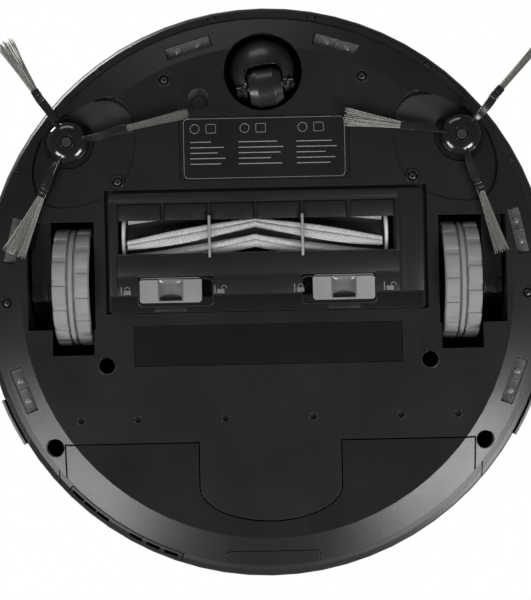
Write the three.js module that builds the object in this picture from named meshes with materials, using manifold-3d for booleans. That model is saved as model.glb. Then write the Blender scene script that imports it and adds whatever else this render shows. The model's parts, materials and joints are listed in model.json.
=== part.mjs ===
// Robot vacuum cleaner with a laser turret, a lift-out dust bin and a slide-out water tank.
// Millimetres, +Z up, front facing -Y. The origin is on the floor under the middle of the body.
// "Left" and "right" are the robot's own, so left is +X and right is -X.
import * as THREE from "three";
import { mergeVertices } from "three/addons/utils/BufferGeometryUtils.js";
import Module from "manifold-3d";

const wasm = await Module();
wasm.setup();

// ---- Driving dimensions -----------------------------------------------------------------------

// Body
const BODY_R = 181; // outer radius of the round body
const UNDER_Z = 10; // height of the flat underside above the floor
const DECK_Z = 84; // height of the deck
const PLATE = 3; // thickness of the underside plate
const WALL = 2.5; // thickness of moulded walls
const GAP = 0.4; // clearance between pieces that sit against or slide past each other
const RUN = 0.3; // radial clearance round a pin or shaft
const RIM_WIDTH = 10; // how far the rim stands out past the lower shell
const SKIRT_WIDTH = 18; // width of the sloped band round the flat underside
const SKIRT_RISE = 7; // height that the sloped band gains
const SPLIT_Z = 48; // joint line between lower and upper shell
const REAR_WALL_Y = 20.5; // where the bumper's room ends and the fixed side wall begins

// Bumper
const BUMPER_TRAVEL = 3; // how far it presses in
const BUMPER_BOTTOM = 20; // height of its lower lip
const BUMPER_TOP = 69; // height of its upper edge
const BUMPER_LIP_IN = 4.6; // how far its lower lip turns in
const LEDGE_ROOM = 0.6; // clearance between that lip and the lower shell's ledge under it
const LEDGE_RISE = 1; // how far the ledge lies above the sloped band's edge
const LEDGE_THICK = 1.2;
const LEDGE_NOTCHES = [10.3, 36.4, 62.6]; // degrees from the front, on both sides
const LEDGE_NOTCH = 1.8; // width of a notch, in degrees

// Drive wheels and their swing arms
const WHEEL_X = 121.5; // middle plane of a tyre
const WHEEL_Y = -6; // axle position
const TYRE_R = 37.5; // rolling radius at a facet's corner
const TYRE_W = 23; // tyre width
const TYRE_DEPTH = 6; // thickness of the rubber
const TYRE_STEPS = 36; // facets round a tyre
const AXLE_R = 3; // drive axle radius
const DRUM_R = 17.5; // radius of the motor and gear drum outboard of the tyre
const DRUM_W = 12.5; // its width
const ARM_PIVOT_Y = -50; // swing arm pivot
const ARM_PIVOT_Z = 25;
const PIVOT_R = 2.5; // pivot pin radius
const WELL_SIDE = 3; // room between a tyre and the well's side
const WELL_FRONT = -46; // front edge of the well's mouth
const WELL_BACK = 21; // rear edge of the wide part of the mouth
const WELL_TAIL = 37; // rear edge of the narrow part behind the tyre
const WELL_TOP = 77; // underside of the wheel housing's roof

// Caster
const CASTER_Y = -137.4; // swivel axis
const CASTER_WELL_R = 24.5; // well in the underside
const CASTER_CUP_R = 23; // domed cup that turns in the well
const CASTER_CUP_LOW = 5.5; // height of the dome's lowest point
const CASTER_TRAIL = 10; // how far the roller's axle trails the swivel axis
const CASTER_TURN = -0.15; // how far the caster stands turned, in radians
const CASTER_STEM_R = 4; // swivel stem radius
const ROLLER_R = 12; // caster roller radius
const ROLLER_PIN_R = 1.5; // its axle pin
const ROLLER_W = 20.5; // caster roller width
const ROLLER_STEPS = 24; // facets round the caster roller

// Side brushes
const HUB_X = 122; // hub position, mirrored
const HUB_Y = -95.3;
const HUB_R = 13; // domed hub
const HUB_RECESS_R = 16.3; // recess round it
const HUB_RECESS_DEEP = 2;
const DISH_DEEP = 0.8; // shallow egg-shaped dish round a hub
const DISH_OUTLINE = [
  [94, -123.5], [83, -113], [79.8, -95], [88, -69],
  [112, -56], [138, -57], [145.5, -78], [135, -106], [113, -118.5],
];
const ARM_REACH = 37; // where the rubber arm ends and the bristles start
const TUFT_REACH = 64; // where the firm part of the bristles ends
const SHAFT_R = 3; // output shaft of a side brush gearbox
const ARM_ANGLES = { right: [12, 121, 243.5], left: [48, 170, 288] }; // degrees, seen from below

// Main brush, its bay and the guard over it
const BRUSH_Y = -36.5; // brush axis
const BRUSH_Z = 30.2;
const BRUSH_R = 19.5; // radius over the bristles
const BRUSH_FROM = -88; // ends of the brush along X
const BRUSH_TO = 76;
const CHAMBER_R = 21.5; // radius of the chamber round the brush
const CHAMBER_FROM = -92.5; // ends of the chamber along X
const CHAMBER_TO = 79.5;
const GUARD_HALF_W = 98; // half width of the guard frame
const GUARD_SLIT = 2.2; // open slit between the frame and the shell, at the sides and in front
const GUARD_FRONT = -63; // front and rear edges of the guard frame
const GUARD_BACK = 11.4;
const MOUTH_FRONT = -46; // front and rear edges of the mouth
const MOUTH_BACK = -25;
const LATCH_X = 59.9; // rest position of the right latch; the left one is placed on its own
const LATCH_LEFT_X = 47.7;
const LATCH_LENGTH = 38.5;
const LATCH_WIDTH = 15.6;
const LATCH_Y = -2.5;
const LATCH_TRAVEL = 6;
const GUARD_RIBS = [-64, -35.2, -6.3, 22.6, 51.6]; // ribs along the guard's lip
const BARRED_RIBS = [1, 3]; // which of them go on as bars across the mouth
const BAR_THICK = 1.4; // width of such a bar
const BAR_PROUD = 2; // how far it stands out below the guard
const LIP_FRONT = -57; // front edge of the sunk lip before the mouth
const LIP_DEEP = 1.4;
const BRISTLE_ROWS = 5;
const BRISTLE_THICK = 2.4;
const BRISTLE_DEEP = 5; // height of a row over the core
const BRUSH_MOTOR_R = 10.5;
const BRUSH_MOTOR_Z = 66;
const BRUSH_COUPLING_R = 4;

// Dust bin and its bay
const BIN_HALF_W = 80;
const BIN_FRONT = -8;
const BIN_BACK = 43;
const BIN_BOTTOM = 24;
const BIN_WALL = 2;
const LID_BACK = 26.6; // rear edge of the bin's lid
const LID_THICK = 2.8;
const DUCT_FROM = -38; // dust inlet, along X and Z
const DUCT_TO = 32;
const DUCT_BOTTOM = 32;
const DUCT_TOP = 48;
const OUTLET_HALF_W = 54; // air outlet in the bin's rear wall
const OUTLET_BOTTOM = 34;
const OUTLET_TOP = 66;

// Water tank and the tongue of the underside that it fits round
const TANK_FRONT = 92.5;
const TANK_HALF_W = 127.6;
const TANK_TOP = 24;
const TONGUE_HALF_W = 44.3;
const TONGUE_STRAIGHT = 120; // where the tongue's sides end and its round end starts
const TONGUE_ROUND = 22.1; // depth of the round end
const TANK_LATCH_HALF_W = 29.5;
const TANK_LATCH_FRONT = 161.5;
const TANK_LATCH_TRAVEL = 2.5; // how far it presses up
const PLUG_AT = [90, 118]; // filling hole in the tank's lid
const FILL_R = 7;
const RIM_SEAM_X = 133.3; // parting lines in the rim beside the tank
const RIM_SEAM = 0.25; // half of their width

// Laser turret
const TURRET_Y = 96;
const TURRET_R = 42;
const TURRET_H = 19.5; // height above the deck
const ROTOR_R = 24;
const PULLEY_R = 6;
const BELT_PITCH = 31.5; // distance between rotor and pulley axes

// Fan
const FAN_X = -47;
const FAN_Y = 91;
const FAN_R = 35;
const FAN_BOTTOM = 30;
const FAN_TOP = 60;
const IMPELLER_R = 29;
const EXHAUST_FROM = 108.8; // degrees round from +X, on the right rear of the rim
const EXHAUST_TO = 136.4;
const EXHAUST_SLOTS = [110, 114, 118, 126, 129.3, 132.6]; // where each slot starts, in degrees
const EXHAUST_SLOT = 2.9; // length of a slot, in degrees
const EXHAUST_SLOT_IN = [6.4, 4.1]; // how far in from the rim the slots start and end
const EXHAUST_WALL_IN = 8.3; // how far in the wall lies that the rim keeps inside the grille
const EXHAUST_H = 8; // height of the grille above the rim's lower edge
const DUCT_HALF_W = 20; // fan's outlet duct
const DUCT_H = 14;
const FAN_BLADES = 7;

// Fixings and sensors on the underside: [x, y], given for the left side and mirrored
const SCREWS = [[61.5, -133.3], [91.7, -70.5], [162.3, 3.3]];
const SCREW_R = 3.25;
const SCREW_DEEP = 2;
const BIG_HOLES = [[100.4, 43.5, 5, 9], [133.8, 94.2, 5.5, 9]]; // x, y, radius, depth
const PLUG_XS = [27.3, 81.7, 117]; // row of small plugged holes
const PLUG_Y = 77.4;
const PLUG_R = 2.2;
const PLUG_DEEP = 1.5;
// Cliff sensors: degrees round from +X, and how far in from the lower shell's edge.
const CLIFF_SPOTS = { front: [-73.3, 10.8], side: [-12.7, 9.6], rear: [20.8, 7.4] };
const CLIFF_L = 29; // sensor window
const CLIFF_W = 8;
const CARPET_X = -40.2; // floor sensor beside the caster
const CARPET_Y = -120.9;
const CARPET_R = 6.75;
const CARPET_DEEP = 6; // how deep the sensor's face lies in its hole
const LABEL = { x: 53, front: -110, back: -70, thick: 0.5 };
const STRIP = { x: 83.5, front: 19.3, back: 44.8, thick: 0.5 };
const CONTACT_FROM = 21; // charging contacts, degrees behind the side
const CONTACT_TO = 31;

// Battery and main board, in front of the brush bay
const CELL_R = 9.4;
const CELL_ROW_FRONT = -108;
const BATTERY_HALF_W = 66;
const BATTERY_WRAP = { front: -103, back: -80, height: 13 };
const BOARD = { x: 62, front: -118, back: -68, z: 50, thick: 1.6 };
const CHIPS = [[-40, -100, 9], [0, -92, 12], [38, -100, 8]]; // middle and half width
const CHIP_H = 1.8;

// Controls on top and on the side wall
const START_Y = -156;
const START_R = 9;
const RESET_X = 30;
const RESET_R = 2.5;
const SWITCH_ANGLE = 50; // degrees round from +X
const SWITCH_Z = 60;
const SWITCH_TILT = 7; // half of the rocker's swing, in degrees

// Facets round circles
const RIM_STEPS = 72;
const MID_STEPS = 24;
const FINE_STEPS = 16;
const HOLE_STEPS = 10;

// ---- Values worked out from those -------------------------------------------------------------

const FLOOR_Z = UNDER_Z + PLATE;
const SKIRT_R = BODY_R - RIM_WIDTH;
const FLAT_R = SKIRT_R - SKIRT_WIDTH;
const SKIRT_Z = UNDER_Z + SKIRT_RISE;
const LEDGE_Z = SKIRT_Z + LEDGE_RISE;
const BUMPER_LIP_R = BODY_R - BUMPER_LIP_IN;
const LEDGE_R = BUMPER_LIP_R - LEDGE_ROOM;
const EXHAUST_SLOT_R = EXHAUST_SLOT_IN.map((inset) => BODY_R - inset);
const EXHAUST_WALL_R = BODY_R - EXHAUST_WALL_IN;
const CASTER_WELL_TOP = ROLLER_R * 2 + 11;
const DECK_UNDER = DECK_Z - WALL;
const WHEEL_Z = TYRE_R * Math.cos(Math.PI / TYRE_STEPS);
const ROLLER_Z = ROLLER_R * Math.cos(Math.PI / ROLLER_STEPS);
const WELL_IN = WHEEL_X - TYRE_W / 2 - WELL_SIDE;
const TYRE_OUT = WHEEL_X + TYRE_W / 2;
const DRUM_IN = TYRE_OUT + 2;
const DRUM_OUT = DRUM_IN + DRUM_W;
const WELL_OUT = DRUM_OUT + 1.5;
const TANK_CEILING = TANK_TOP + GAP;
const BIN_TOP = DECK_Z;
const BAY_TOP = DECK_UNDER - GAP;
const HANDLE_HALF_W = 30;
const HANDLE_Y = 30;
const HANDLE_PIVOT_Y = 38.8;
const HANDLE_THICK = 2.4;

// Height of the underside at a spot, on the flat or on the sloped band.
const underAt = (x, y) =>
  UNDER_Z + (Math.max(0, Math.hypot(x, y) - FLAT_R) * SKIRT_RISE) / SKIRT_WIDTH;
const rad = (degrees) => (degrees * Math.PI) / 180;
const sideName = (side) => (side < 0 ? "right" : "left");

// ---- Making, joining and cutting solids -------------------------------------------------------

// A closed three.js geometry as a solid that can be joined and cut.
function solid(geometry) {
  const bare = new THREE.BufferGeometry();
  bare.setAttribute("position", geometry.getAttribute("position"));
  bare.setIndex(geometry.getIndex());
  const merged = mergeVertices(bare, 1e-4);
  const corners = merged.getIndex().array;
  const kept = [];
  for (let i = 0; i < corners.length; i += 3) {
    const [a, b, c] = corners.slice(i, i + 3);
    if (a !== b && b !== c && c !== a) kept.push(a, b, c);
  }
  const build = (faces) =>
    new wasm.Manifold(
      new wasm.Mesh({
        numProp: 3,
        vertProperties: new Float32Array(merged.getAttribute("position").array),
        triVerts: new Uint32Array(faces),
      }),
    );
  const made = build(kept);
  return made.volume() > 0 ? made : build(kept.reverse());
}

const join = (first, ...rest) => rest.reduce((sum, piece) => sum.add(piece), first);
const cut = (first, ...rest) => rest.reduce((left, piece) => left.subtract(piece), first);

// A flat outline raised from one height to another, then turned about Z if asked.
function prism(outline, bottom, top, steps = HOLE_STEPS, turn = 0) {
  const options = { depth: top - bottom, bevelEnabled: false, curveSegments: steps };
  const geometry = new THREE.ExtrudeGeometry(outline, options);
  geometry.translate(0, 0, bottom);
  geometry.rotateZ(turn);
  return solid(geometry);
}

// A closed or axis-to-axis profile of [radius, height] points turned about Z.
function turned(profile, steps, x = 0, y = 0) {
  const points = profile.map(([r, z]) => new THREE.Vector2(r, z));
  const geometry = new THREE.LatheGeometry(points, steps);
  geometry.rotateX(Math.PI / 2);
  geometry.translate(x, y, 0);
  return solid(geometry);
}

function block(x0, x1, y0, y1, z0, z1) {
  const geometry = new THREE.BoxGeometry(x1 - x0, y1 - y0, z1 - z0);
  geometry.translate((x0 + x1) / 2, (y0 + y1) / 2, (z0 + z1) / 2);
  return solid(geometry);
}

// A round bar standing on Z, or lying along X.
function post(r, z0, z1, x = 0, y = 0, steps = HOLE_STEPS) {
  const geometry = new THREE.CylinderGeometry(r, r, z1 - z0, steps);
  geometry.rotateX(Math.PI / 2);
  geometry.translate(x, y, (z0 + z1) / 2);
  return solid(geometry);
}

// A round bar lying along X, with a flat facet downwards.
function rod(r, x0, x1, y, z, steps = HOLE_STEPS) {
  const geometry = new THREE.CylinderGeometry(r, r, x1 - x0, steps);
  geometry.rotateZ(-Math.PI / 2);
  geometry.rotateX(Math.PI / steps);
  geometry.translate((x0 + x1) / 2, y, z);
  return solid(geometry);
}

function rectangle(x0, x1, y0, y1, corner = 0) {
  const shape = new THREE.Shape();
  if (!corner) {
    shape.moveTo(x0, y0).lineTo(x1, y0).lineTo(x1, y1).lineTo(x0, y1);
    return shape;
  }
  const c = corner;
  shape.absarc(x1 - c, y0 + c, c, -Math.PI / 2, 0, false);
  shape.absarc(x1 - c, y1 - c, c, 0, Math.PI / 2, false);
  shape.absarc(x0 + c, y1 - c, c, Math.PI / 2, Math.PI, false);
  shape.absarc(x0 + c, y0 + c, c, Math.PI, 1.5 * Math.PI, false);
  return shape;
}

function polygon(points) {
  return new THREE.Shape(points.map(([x, y]) => new THREE.Vector2(x, y)));
}

// The part of a ring between two directions, as a flat outline.
function sector(r0, r1, from, to) {
  const shape = new THREE.Shape();
  shape.absarc(0, 0, r1, from, to, false);
  shape.absarc(0, 0, r0, to, from, true);
  return shape;
}

// A named mesh of a solid.
function mesh(name, body, material) {
  const { vertProperties, triVerts } = body.getMesh();
  const geometry = new THREE.BufferGeometry();
  geometry.setAttribute("position", new THREE.BufferAttribute(vertProperties, 3));
  geometry.setIndex(new THREE.BufferAttribute(triVerts, 1));
  const made = new THREE.Mesh(geometry, material());
  made.name = name;
  return made;
}

// ---- Materials: each call makes the material of one mesh --------------------------------------

const finish = (color, roughness, metalness = 0) => () =>
  new THREE.MeshStandardMaterial({ color, roughness, metalness });
const blackPlastic = finish(0x222223, 0.5);
const glossBlack = finish(0x161617, 0.15);
const greyPlastic = finish(0x8d8e90, 0.45);
const darkPlastic = finish(0x2b2b2d, 0.6);
const smokedPlastic = finish(0x3a3a3d, 0.1);
const greyRubber = finish(0x8b8b8b, 0.85);
const blackRubber = finish(0x1b1b1b, 0.85);
const steel = finish(0xa8a8aa, 0.3, 1);
const boardGreen = finish(0x1d5a34, 0.5);
const cellBlue = finish(0x24466e, 0.4);
const filterWhite = finish(0xe4e2da, 0.9);
const labelGrey = finish(0x3a3a3b, 0.6);

// ---- Outlines and envelopes that several pieces share -----------------------------------------

// Everything inside the lower shell's outer surface, up to the deck.
const hullProfile = (grow, top) => [
  [0, UNDER_Z - grow],
  [FLAT_R, UNDER_Z - grow],
  [SKIRT_R + grow, SKIRT_Z - grow],
  [SKIRT_R + grow, top],
  [0, top],
];
const hull = (grow = 0, top = DECK_UNDER) => turned(hullProfile(grow, top), RIM_STEPS);

// Everything inside the lower shell's inner surface, for pieces that stand on it.
const innerRoom = () =>
  turned(
    [
      [0, FLOOR_Z + GAP],
      [FLAT_R - 1, FLOOR_Z + GAP],
      [SKIRT_R - WALL - GAP, SKIRT_Z + WALL + 2 * GAP],
      [SKIRT_R - WALL - GAP, DECK_UNDER - GAP],
      [0, DECK_UNDER - GAP],
    ],
    RIM_STEPS,
  );

// The outer face of the side wall above the lower shell, from its turned-in lower edge upwards.
const RIM_LOW = TANK_CEILING + 0.3;
const rimFace = (inset) => [
  [SKIRT_R + 1 - inset * 0.2, RIM_LOW],
  [BODY_R - 5.5 - inset, RIM_LOW + 1.5 + inset * 0.7],
  [BODY_R - 2.2 - inset, RIM_LOW + 5.5 + inset * 0.3],
  [BODY_R - 0.5 - inset, RIM_LOW + 11],
  [BODY_R - inset, RIM_LOW + 16],
];

// The tongue of the underside that the tank fits round, as an outline grown by some clearance.
function tongueOutline(grow, front) {
  const half = TONGUE_HALF_W + grow;
  const shape = new THREE.Shape();
  shape.moveTo(-half, front).lineTo(half, front).lineTo(half, TONGUE_STRAIGHT);
  shape.absellipse(0, TONGUE_STRAIGHT, half, TONGUE_ROUND + grow, 0, Math.PI, false, 0);
  return shape;
}

// The room the tank takes, grown by some clearance.
function tankRoom(grow, bottom, top) {
  const half = TANK_HALF_W + grow;
  const whole = prism(rectangle(-half, half, TANK_FRONT - grow, BODY_R + 20), bottom, top);
  const tongue = prism(tongueOutline(-grow, TANK_FRONT - 20), bottom - 1, top + 1);
  return cut(whole, tongue);
}

const eachSide = (make) => [-1, 1].map(make);
const wedge = (from, to, r0, r1, z0, z1) => prism(sector(r0, r1, rad(from), rad(to)), z0, z1, 6);

// A block that lies along the rim: long sideways, at a given spot.
function rimBlock(length, width, z0, z1, x, y) {
  const geometry = new THREE.BoxGeometry(width, length, z1 - z0);
  geometry.rotateZ(Math.atan2(y, x));
  geometry.translate(x, y, (z0 + z1) / 2);
  return solid(geometry);
}

function cliffPlace(place, side) {
  const [angle, inset] = CLIFF_SPOTS[place];
  const r = SKIRT_R - inset;
  return {
    name: `${place}_${sideName(side)}`,
    x: side * r * Math.cos(rad(angle)),
    y: r * Math.sin(rad(angle)),
    r,
  };
}
const cliffPlaces = Object.keys(CLIFF_SPOTS).flatMap((place) =>
  eachSide((side) => cliffPlace(place, side)),
);

// ---- Lower shell ------------------------------------------------------------------------------

function wellMouth(side, grow) {
  const wide = [side * WELL_IN, side * WELL_OUT].sort((a, b) => a - b);
  const narrow = [side * (WELL_IN + 1), side * (TYRE_OUT + 1)].sort((a, b) => a - b);
  const front = WELL_FRONT - grow;
  return join(
    block(wide[0] - grow, wide[1] + grow, front, WELL_BACK + grow, -1, FLOOR_Z + 8),
    block(narrow[0] - grow, narrow[1] + grow, WELL_BACK - 1, WELL_TAIL + grow, -1, FLOOR_Z + 8),
  );
}

// Shallow egg-shaped dish in the underside round a side brush, deeper towards the rim.
function brushDish(side) {
  const corners = DISH_OUTLINE.map(([x, y]) => new THREE.Vector3(side * x, y, 0));
  const around = new THREE.CatmullRomCurve3(corners, true).getPoints(corners.length * 4);
  const outline = prism(polygon(around.slice(0, -1).map(({ x, y }) => [x, y])), 0, SKIRT_Z + WALL);
  const floor = turned(
    [
      [0, UNDER_Z + DISH_DEEP],
      [FLAT_R - SKIRT_WIDTH, UNDER_Z + DISH_DEEP],
      [FLAT_R, UNDER_Z + 2 * DISH_DEEP],
      [SKIRT_R, SKIRT_Z + 2 * DISH_DEEP],
      [SKIRT_R, SPLIT_Z],
      [0, SPLIT_Z],
    ],
    RIM_STEPS,
  );
  return cut(outline, floor);
}

// Ledge under the bumper's lip, round the front half, with the notches that the bumper's hooks pass.
function bumperLedge() {
  const top = LEDGE_Z + LEDGE_THICK;
  const inner = SKIRT_R - WALL / 2;
  const ring = turned(
    [[inner, LEDGE_Z], [LEDGE_R, LEDGE_Z], [LEDGE_R, top], [inner, top], [inner, LEDGE_Z]],
    RIM_STEPS,
  );
  const behind = block(-BODY_R, BODY_R, REAR_WALL_Y - 2 * GAP, BODY_R, 0, SPLIT_Z);
  const notches = LEDGE_NOTCHES.flatMap((angle) =>
    eachSide((side) => {
      const middle = -90 + side * angle;
      const [from, to] = [middle - LEDGE_NOTCH / 2, middle + LEDGE_NOTCH / 2];
      return wedge(from, to, SKIRT_R + 2, BODY_R, LEDGE_Z - 1, top + 1);
    }),
  );
  return cut(ring, behind, ...notches);
}

function lowerShell() {
  const skin = turned(
    [
      [0, UNDER_Z],
      [FLAT_R, UNDER_Z],
      [SKIRT_R, SKIRT_Z],
      [SKIRT_R, SPLIT_Z],
      [SKIRT_R - WALL, SPLIT_Z],
      [SKIRT_R - WALL, SKIRT_Z + WALL],
      [FLAT_R - 1, FLOOR_Z],
      [0, FLOOR_Z],
    ],
    RIM_STEPS,
  );
  const roof = TANK_CEILING + WALL;
  const innerTongue = prism(tongueOutline(-WALL - GAP, TANK_FRONT - 20), FLOOR_Z, roof + 1);
  const bay = cut(
    tankRoom(WALL + GAP, UNDER_Z, roof).intersect(hull()),
    tankRoom(GAP, UNDER_Z - 5, TANK_CEILING),
    innerTongue,
  );
  const wellTop = CASTER_WELL_TOP + 3;
  const casterWell = post(CASTER_WELL_R + WALL, FLOOR_Z - 1, wellTop, 0, CASTER_Y, MID_STEPS);
  const shell = join(
    cut(skin, tankRoom(GAP, 0, TANK_CEILING)),
    bay,
    casterWell.intersect(hull()),
    bumperLedge(),
  );
  const drilled = (x, y, r, deep, steps = HOLE_STEPS) =>
    eachSide((side) => post(r, 0, underAt(x, y) + deep, side * x, y, steps));
  const plugs = PLUG_XS.flatMap((x) => drilled(x, PLUG_Y, PLUG_R, PLUG_DEEP, 8));
  const screws = SCREWS.flatMap(([x, y]) => drilled(x, y, SCREW_R, SCREW_DEEP));
  const holes = BIG_HOLES.flatMap(([x, y, r, deep]) => drilled(x, y, r, deep, FINE_STEPS));
  const guardRoom = GUARD_HALF_W + GUARD_SLIT;
  const openings = [
    post(CASTER_WELL_R, 0, CASTER_WELL_TOP, 0, CASTER_Y, MID_STEPS),
    post(CASTER_STEM_R + RUN + 0.2, 0, CASTER_WELL_TOP + 9, 0, CASTER_Y),
    block(-guardRoom, guardRoom, GUARD_FRONT - GUARD_SLIT, GUARD_BACK + GAP, 0, FLOOR_Z + 1),
    block(-LABEL.x, LABEL.x, LABEL.front, LABEL.back, 0, UNDER_Z + LABEL.thick + GAP),
    block(-STRIP.x, STRIP.x, STRIP.front, STRIP.back, 0, UNDER_Z + STRIP.thick + GAP),
    post(CARPET_R, 0, FLOOR_Z + 1, CARPET_X, CARPET_Y, FINE_STEPS),
    ...cliffPlaces.map(({ x, y }) => rimBlock(CLIFF_L, CLIFF_W, 0, 30, x, y)),
    ...eachSide((side) => wellMouth(side, 0)),
    ...eachSide(brushDish),
    ...drilled(HUB_X, HUB_Y, HUB_RECESS_R, HUB_RECESS_DEEP, MID_STEPS),
    ...drilled(HUB_X, HUB_Y, SHAFT_R + 3, FLOOR_Z - UNDER_Z + 4),
    ...plugs,
    ...screws,
    ...holes,
  ];
  return mesh("lower_shell", cut(shell, ...openings), blackPlastic);
}

// ---- Upper shell: deck, fixed rear wall and the front wall behind the bumper ------------------

function upperShell() {
  const front = turned(
    [
      [0, DECK_UNDER],
      [SKIRT_R - WALL, DECK_UNDER],
      [SKIRT_R - WALL, SPLIT_Z + GAP],
      [SKIRT_R, SPLIT_Z + GAP],
      [SKIRT_R, DECK_UNDER],
      [BODY_R - 5, DECK_UNDER],
      [BODY_R - 3.5, DECK_UNDER - 1.5],
      [BODY_R - 3.5, BUMPER_TOP + 1.5],
      [BODY_R - 1, BUMPER_TOP + 1.5],
      [BODY_R - 1, DECK_Z - 7],
      [BODY_R - 2.4, DECK_Z - 3],
      [BODY_R - 6.5, DECK_Z - 0.4],
      [SKIRT_R, DECK_Z],
      [0, DECK_Z],
    ],
    RIM_STEPS,
  );
  const rear = turned(
    [
      ...rimFace(0),
      [BODY_R, DECK_Z - 7],
      [BODY_R - 1.6, DECK_Z - 3],
      [BODY_R - 6, DECK_Z - 0.4],
      [SKIRT_R, DECK_Z],
      [0, DECK_Z],
      [0, DECK_UNDER],
      [SKIRT_R, DECK_UNDER],
      [BODY_R - 4.5, DECK_UNDER - 2],
      [BODY_R - WALL, DECK_UNDER - 5],
      ...rimFace(WALL).reverse().slice(0, 4),
      [SKIRT_R + 0.5, RIM_LOW + 3],
      rimFace(0)[0],
    ],
    RIM_STEPS,
  );
  const far = BODY_R + 20;
  const behind = block(-far, far, REAR_WALL_Y, far, 0, DECK_Z + 10);
  const ends = block(-far, far, REAR_WALL_Y, REAR_WALL_Y + WALL, RIM_LOW + 8, DECK_UNDER + 0.5);
  const endWalls = ends.intersect(
    prism(sector(SKIRT_R + GAP, BODY_R - 1, rad(1), rad(179)), 0, DECK_Z, RIM_STEPS / 2),
  );
  const pocket = switchPlace(block(BODY_R - 12, BODY_R + 5, -11, 11, SWITCH_Z - 8, SWITCH_Z + 8));
  const cup = switchPlace(
    cut(
      block(BODY_R - 14, BODY_R - 1.5, -13, 13, SWITCH_Z - 10, SWITCH_Z + 10),
      block(BODY_R - 12, BODY_R + 5, -11, 11, SWITCH_Z - 8, SWITCH_Z + 8),
    ),
  );
  const walls = join(cut(front, behind), rear.intersect(behind), endWalls);
  return mesh(
    "upper_shell",
    cut(
      join(cut(walls, pocket), cup),
      block(
        -BIN_HALF_W - GAP, BIN_HALF_W + GAP, BIN_FRONT - GAP, BIN_BACK + GAP, DECK_UNDER - 1, DECK_Z + 1,
      ),
      post(START_R + GAP, DECK_UNDER - 1, DECK_Z + 1, 0, START_Y, FINE_STEPS),
      post(RESET_R + GAP, DECK_UNDER - 1, DECK_Z + 1, RESET_X, START_Y),
      wedge(EXHAUST_FROM, EXHAUST_TO, EXHAUST_WALL_R, BODY_R + 5, RIM_LOW + 0.3, RIM_LOW + EXHAUST_H),
      ...eachSide(contactPocket),
      ...eachSide(rimSeam),
    ),
    blackPlastic,
  );
}

// Turns a solid made beside +X to the power switch's place on the rim.
function switchPlace(body) {
  return turnSolid(body, rad(SWITCH_ANGLE));
}

function turnSolid(body, angle) {
  const { vertProperties, triVerts } = body.getMesh();
  const geometry = new THREE.BufferGeometry();
  geometry.setAttribute("position", new THREE.BufferAttribute(vertProperties, 3));
  geometry.setIndex(new THREE.BufferAttribute(triVerts, 1));
  geometry.rotateZ(angle);
  return solid(geometry);
}

const contactSpan = (side, spare) =>
  side > 0
    ? [CONTACT_FROM - spare, CONTACT_TO + spare]
    : [180 - CONTACT_TO - spare, 180 - CONTACT_FROM + spare];

function contactPocket(side) {
  const [from, to] = contactSpan(side, 0.3);
  return wedge(from, to, BODY_R - 1, BODY_R + 5, 30, 46);
}

// Parting line in the rim beside the tank.
function rimSeam(side) {
  const x = side * RIM_SEAM_X;
  return block(x - RIM_SEAM, x + RIM_SEAM, 100, BODY_R, RIM_LOW - 1, SPLIT_Z - 2);
}

// Sprung metal strips that touch the dock.
function chargingContact(side) {
  const [from, to] = contactSpan(side, 0);
  const strip = wedge(from, to, BODY_R - 1 + GAP, BODY_R + 1, 31, 45);
  return mesh(`charging_contact_${sideName(side)}`, strip, steel);
}

// Slotted grille where the fan blows out, in the underside of the rim at the right rear.
function exhaustGrille() {
  const outer = rimFace(0.3);
  const band = turned([...outer, ...rimFace(1.9).reverse(), outer[0]], RIM_STEPS);
  const low = RIM_LOW + 0.3 + GAP;
  const high = RIM_LOW + EXHAUST_H - GAP;
  const room = wedge(EXHAUST_FROM + 0.2, EXHAUST_TO - 0.2, EXHAUST_WALL_R + GAP, BODY_R + 5, low, high);
  const slots = EXHAUST_SLOTS.map((from) =>
    wedge(from, from + EXHAUST_SLOT, ...EXHAUST_SLOT_R, RIM_LOW - 1, RIM_LOW + EXHAUST_H),
  );
  return mesh("exhaust_grille", cut(band.intersect(room), ...slots), blackPlastic);
}

// ---- Bumper -----------------------------------------------------------------------------------

function bumper() {
  const shell = turned(
    [
      [BUMPER_LIP_R, BUMPER_BOTTOM],
      [BODY_R - 3, BUMPER_BOTTOM + 2.5],
      [BODY_R - 0.8, BUMPER_BOTTOM + 11],
      [BODY_R, BUMPER_BOTTOM + 18],
      [BODY_R, BUMPER_TOP - 3],
      [BODY_R - 1.5, BUMPER_TOP],
      [BODY_R - 4.5, BUMPER_TOP],
      [BODY_R - WALL, BUMPER_TOP - 4],
      [BODY_R - WALL, BUMPER_BOTTOM + 18],
      [BODY_R - 0.8 - WALL, BUMPER_BOTTOM + 12],
      [BODY_R - 3 - WALL, BUMPER_BOTTOM + 6.5],
      [BUMPER_LIP_R - 0.8, BUMPER_BOTTOM + 1.5],
      [BUMPER_LIP_R, BUMPER_BOTTOM],
    ],
    RIM_STEPS,
  );
  const far = BODY_R + 20;
  const frontHalf = block(-far, far, -far, REAR_WALL_Y - BUMPER_TRAVEL - 0.5, 0, DECK_Z);
  const window = wedge(-150, -30, BODY_R - 1.2, BODY_R + 5, 44, 58);
  return mesh("bumper", cut(shell.intersect(frontHalf), window), blackPlastic);
}

// Smoked strip in the bumper that the obstacle sensors look through.
function bumperWindow() {
  const strip = prism(sector(BODY_R - 1.2 + RUN, BODY_R - 0.1, rad(-149.7), rad(-30.3)), 44.4, 57.6, 32);
  return mesh("bumper_window", strip, smokedPlastic);
}

// ---- Drive wheels -----------------------------------------------------------------------------

const acrossX = (side, near, far) => (side > 0 ? [near, far] : [-far, -near]);

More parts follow.
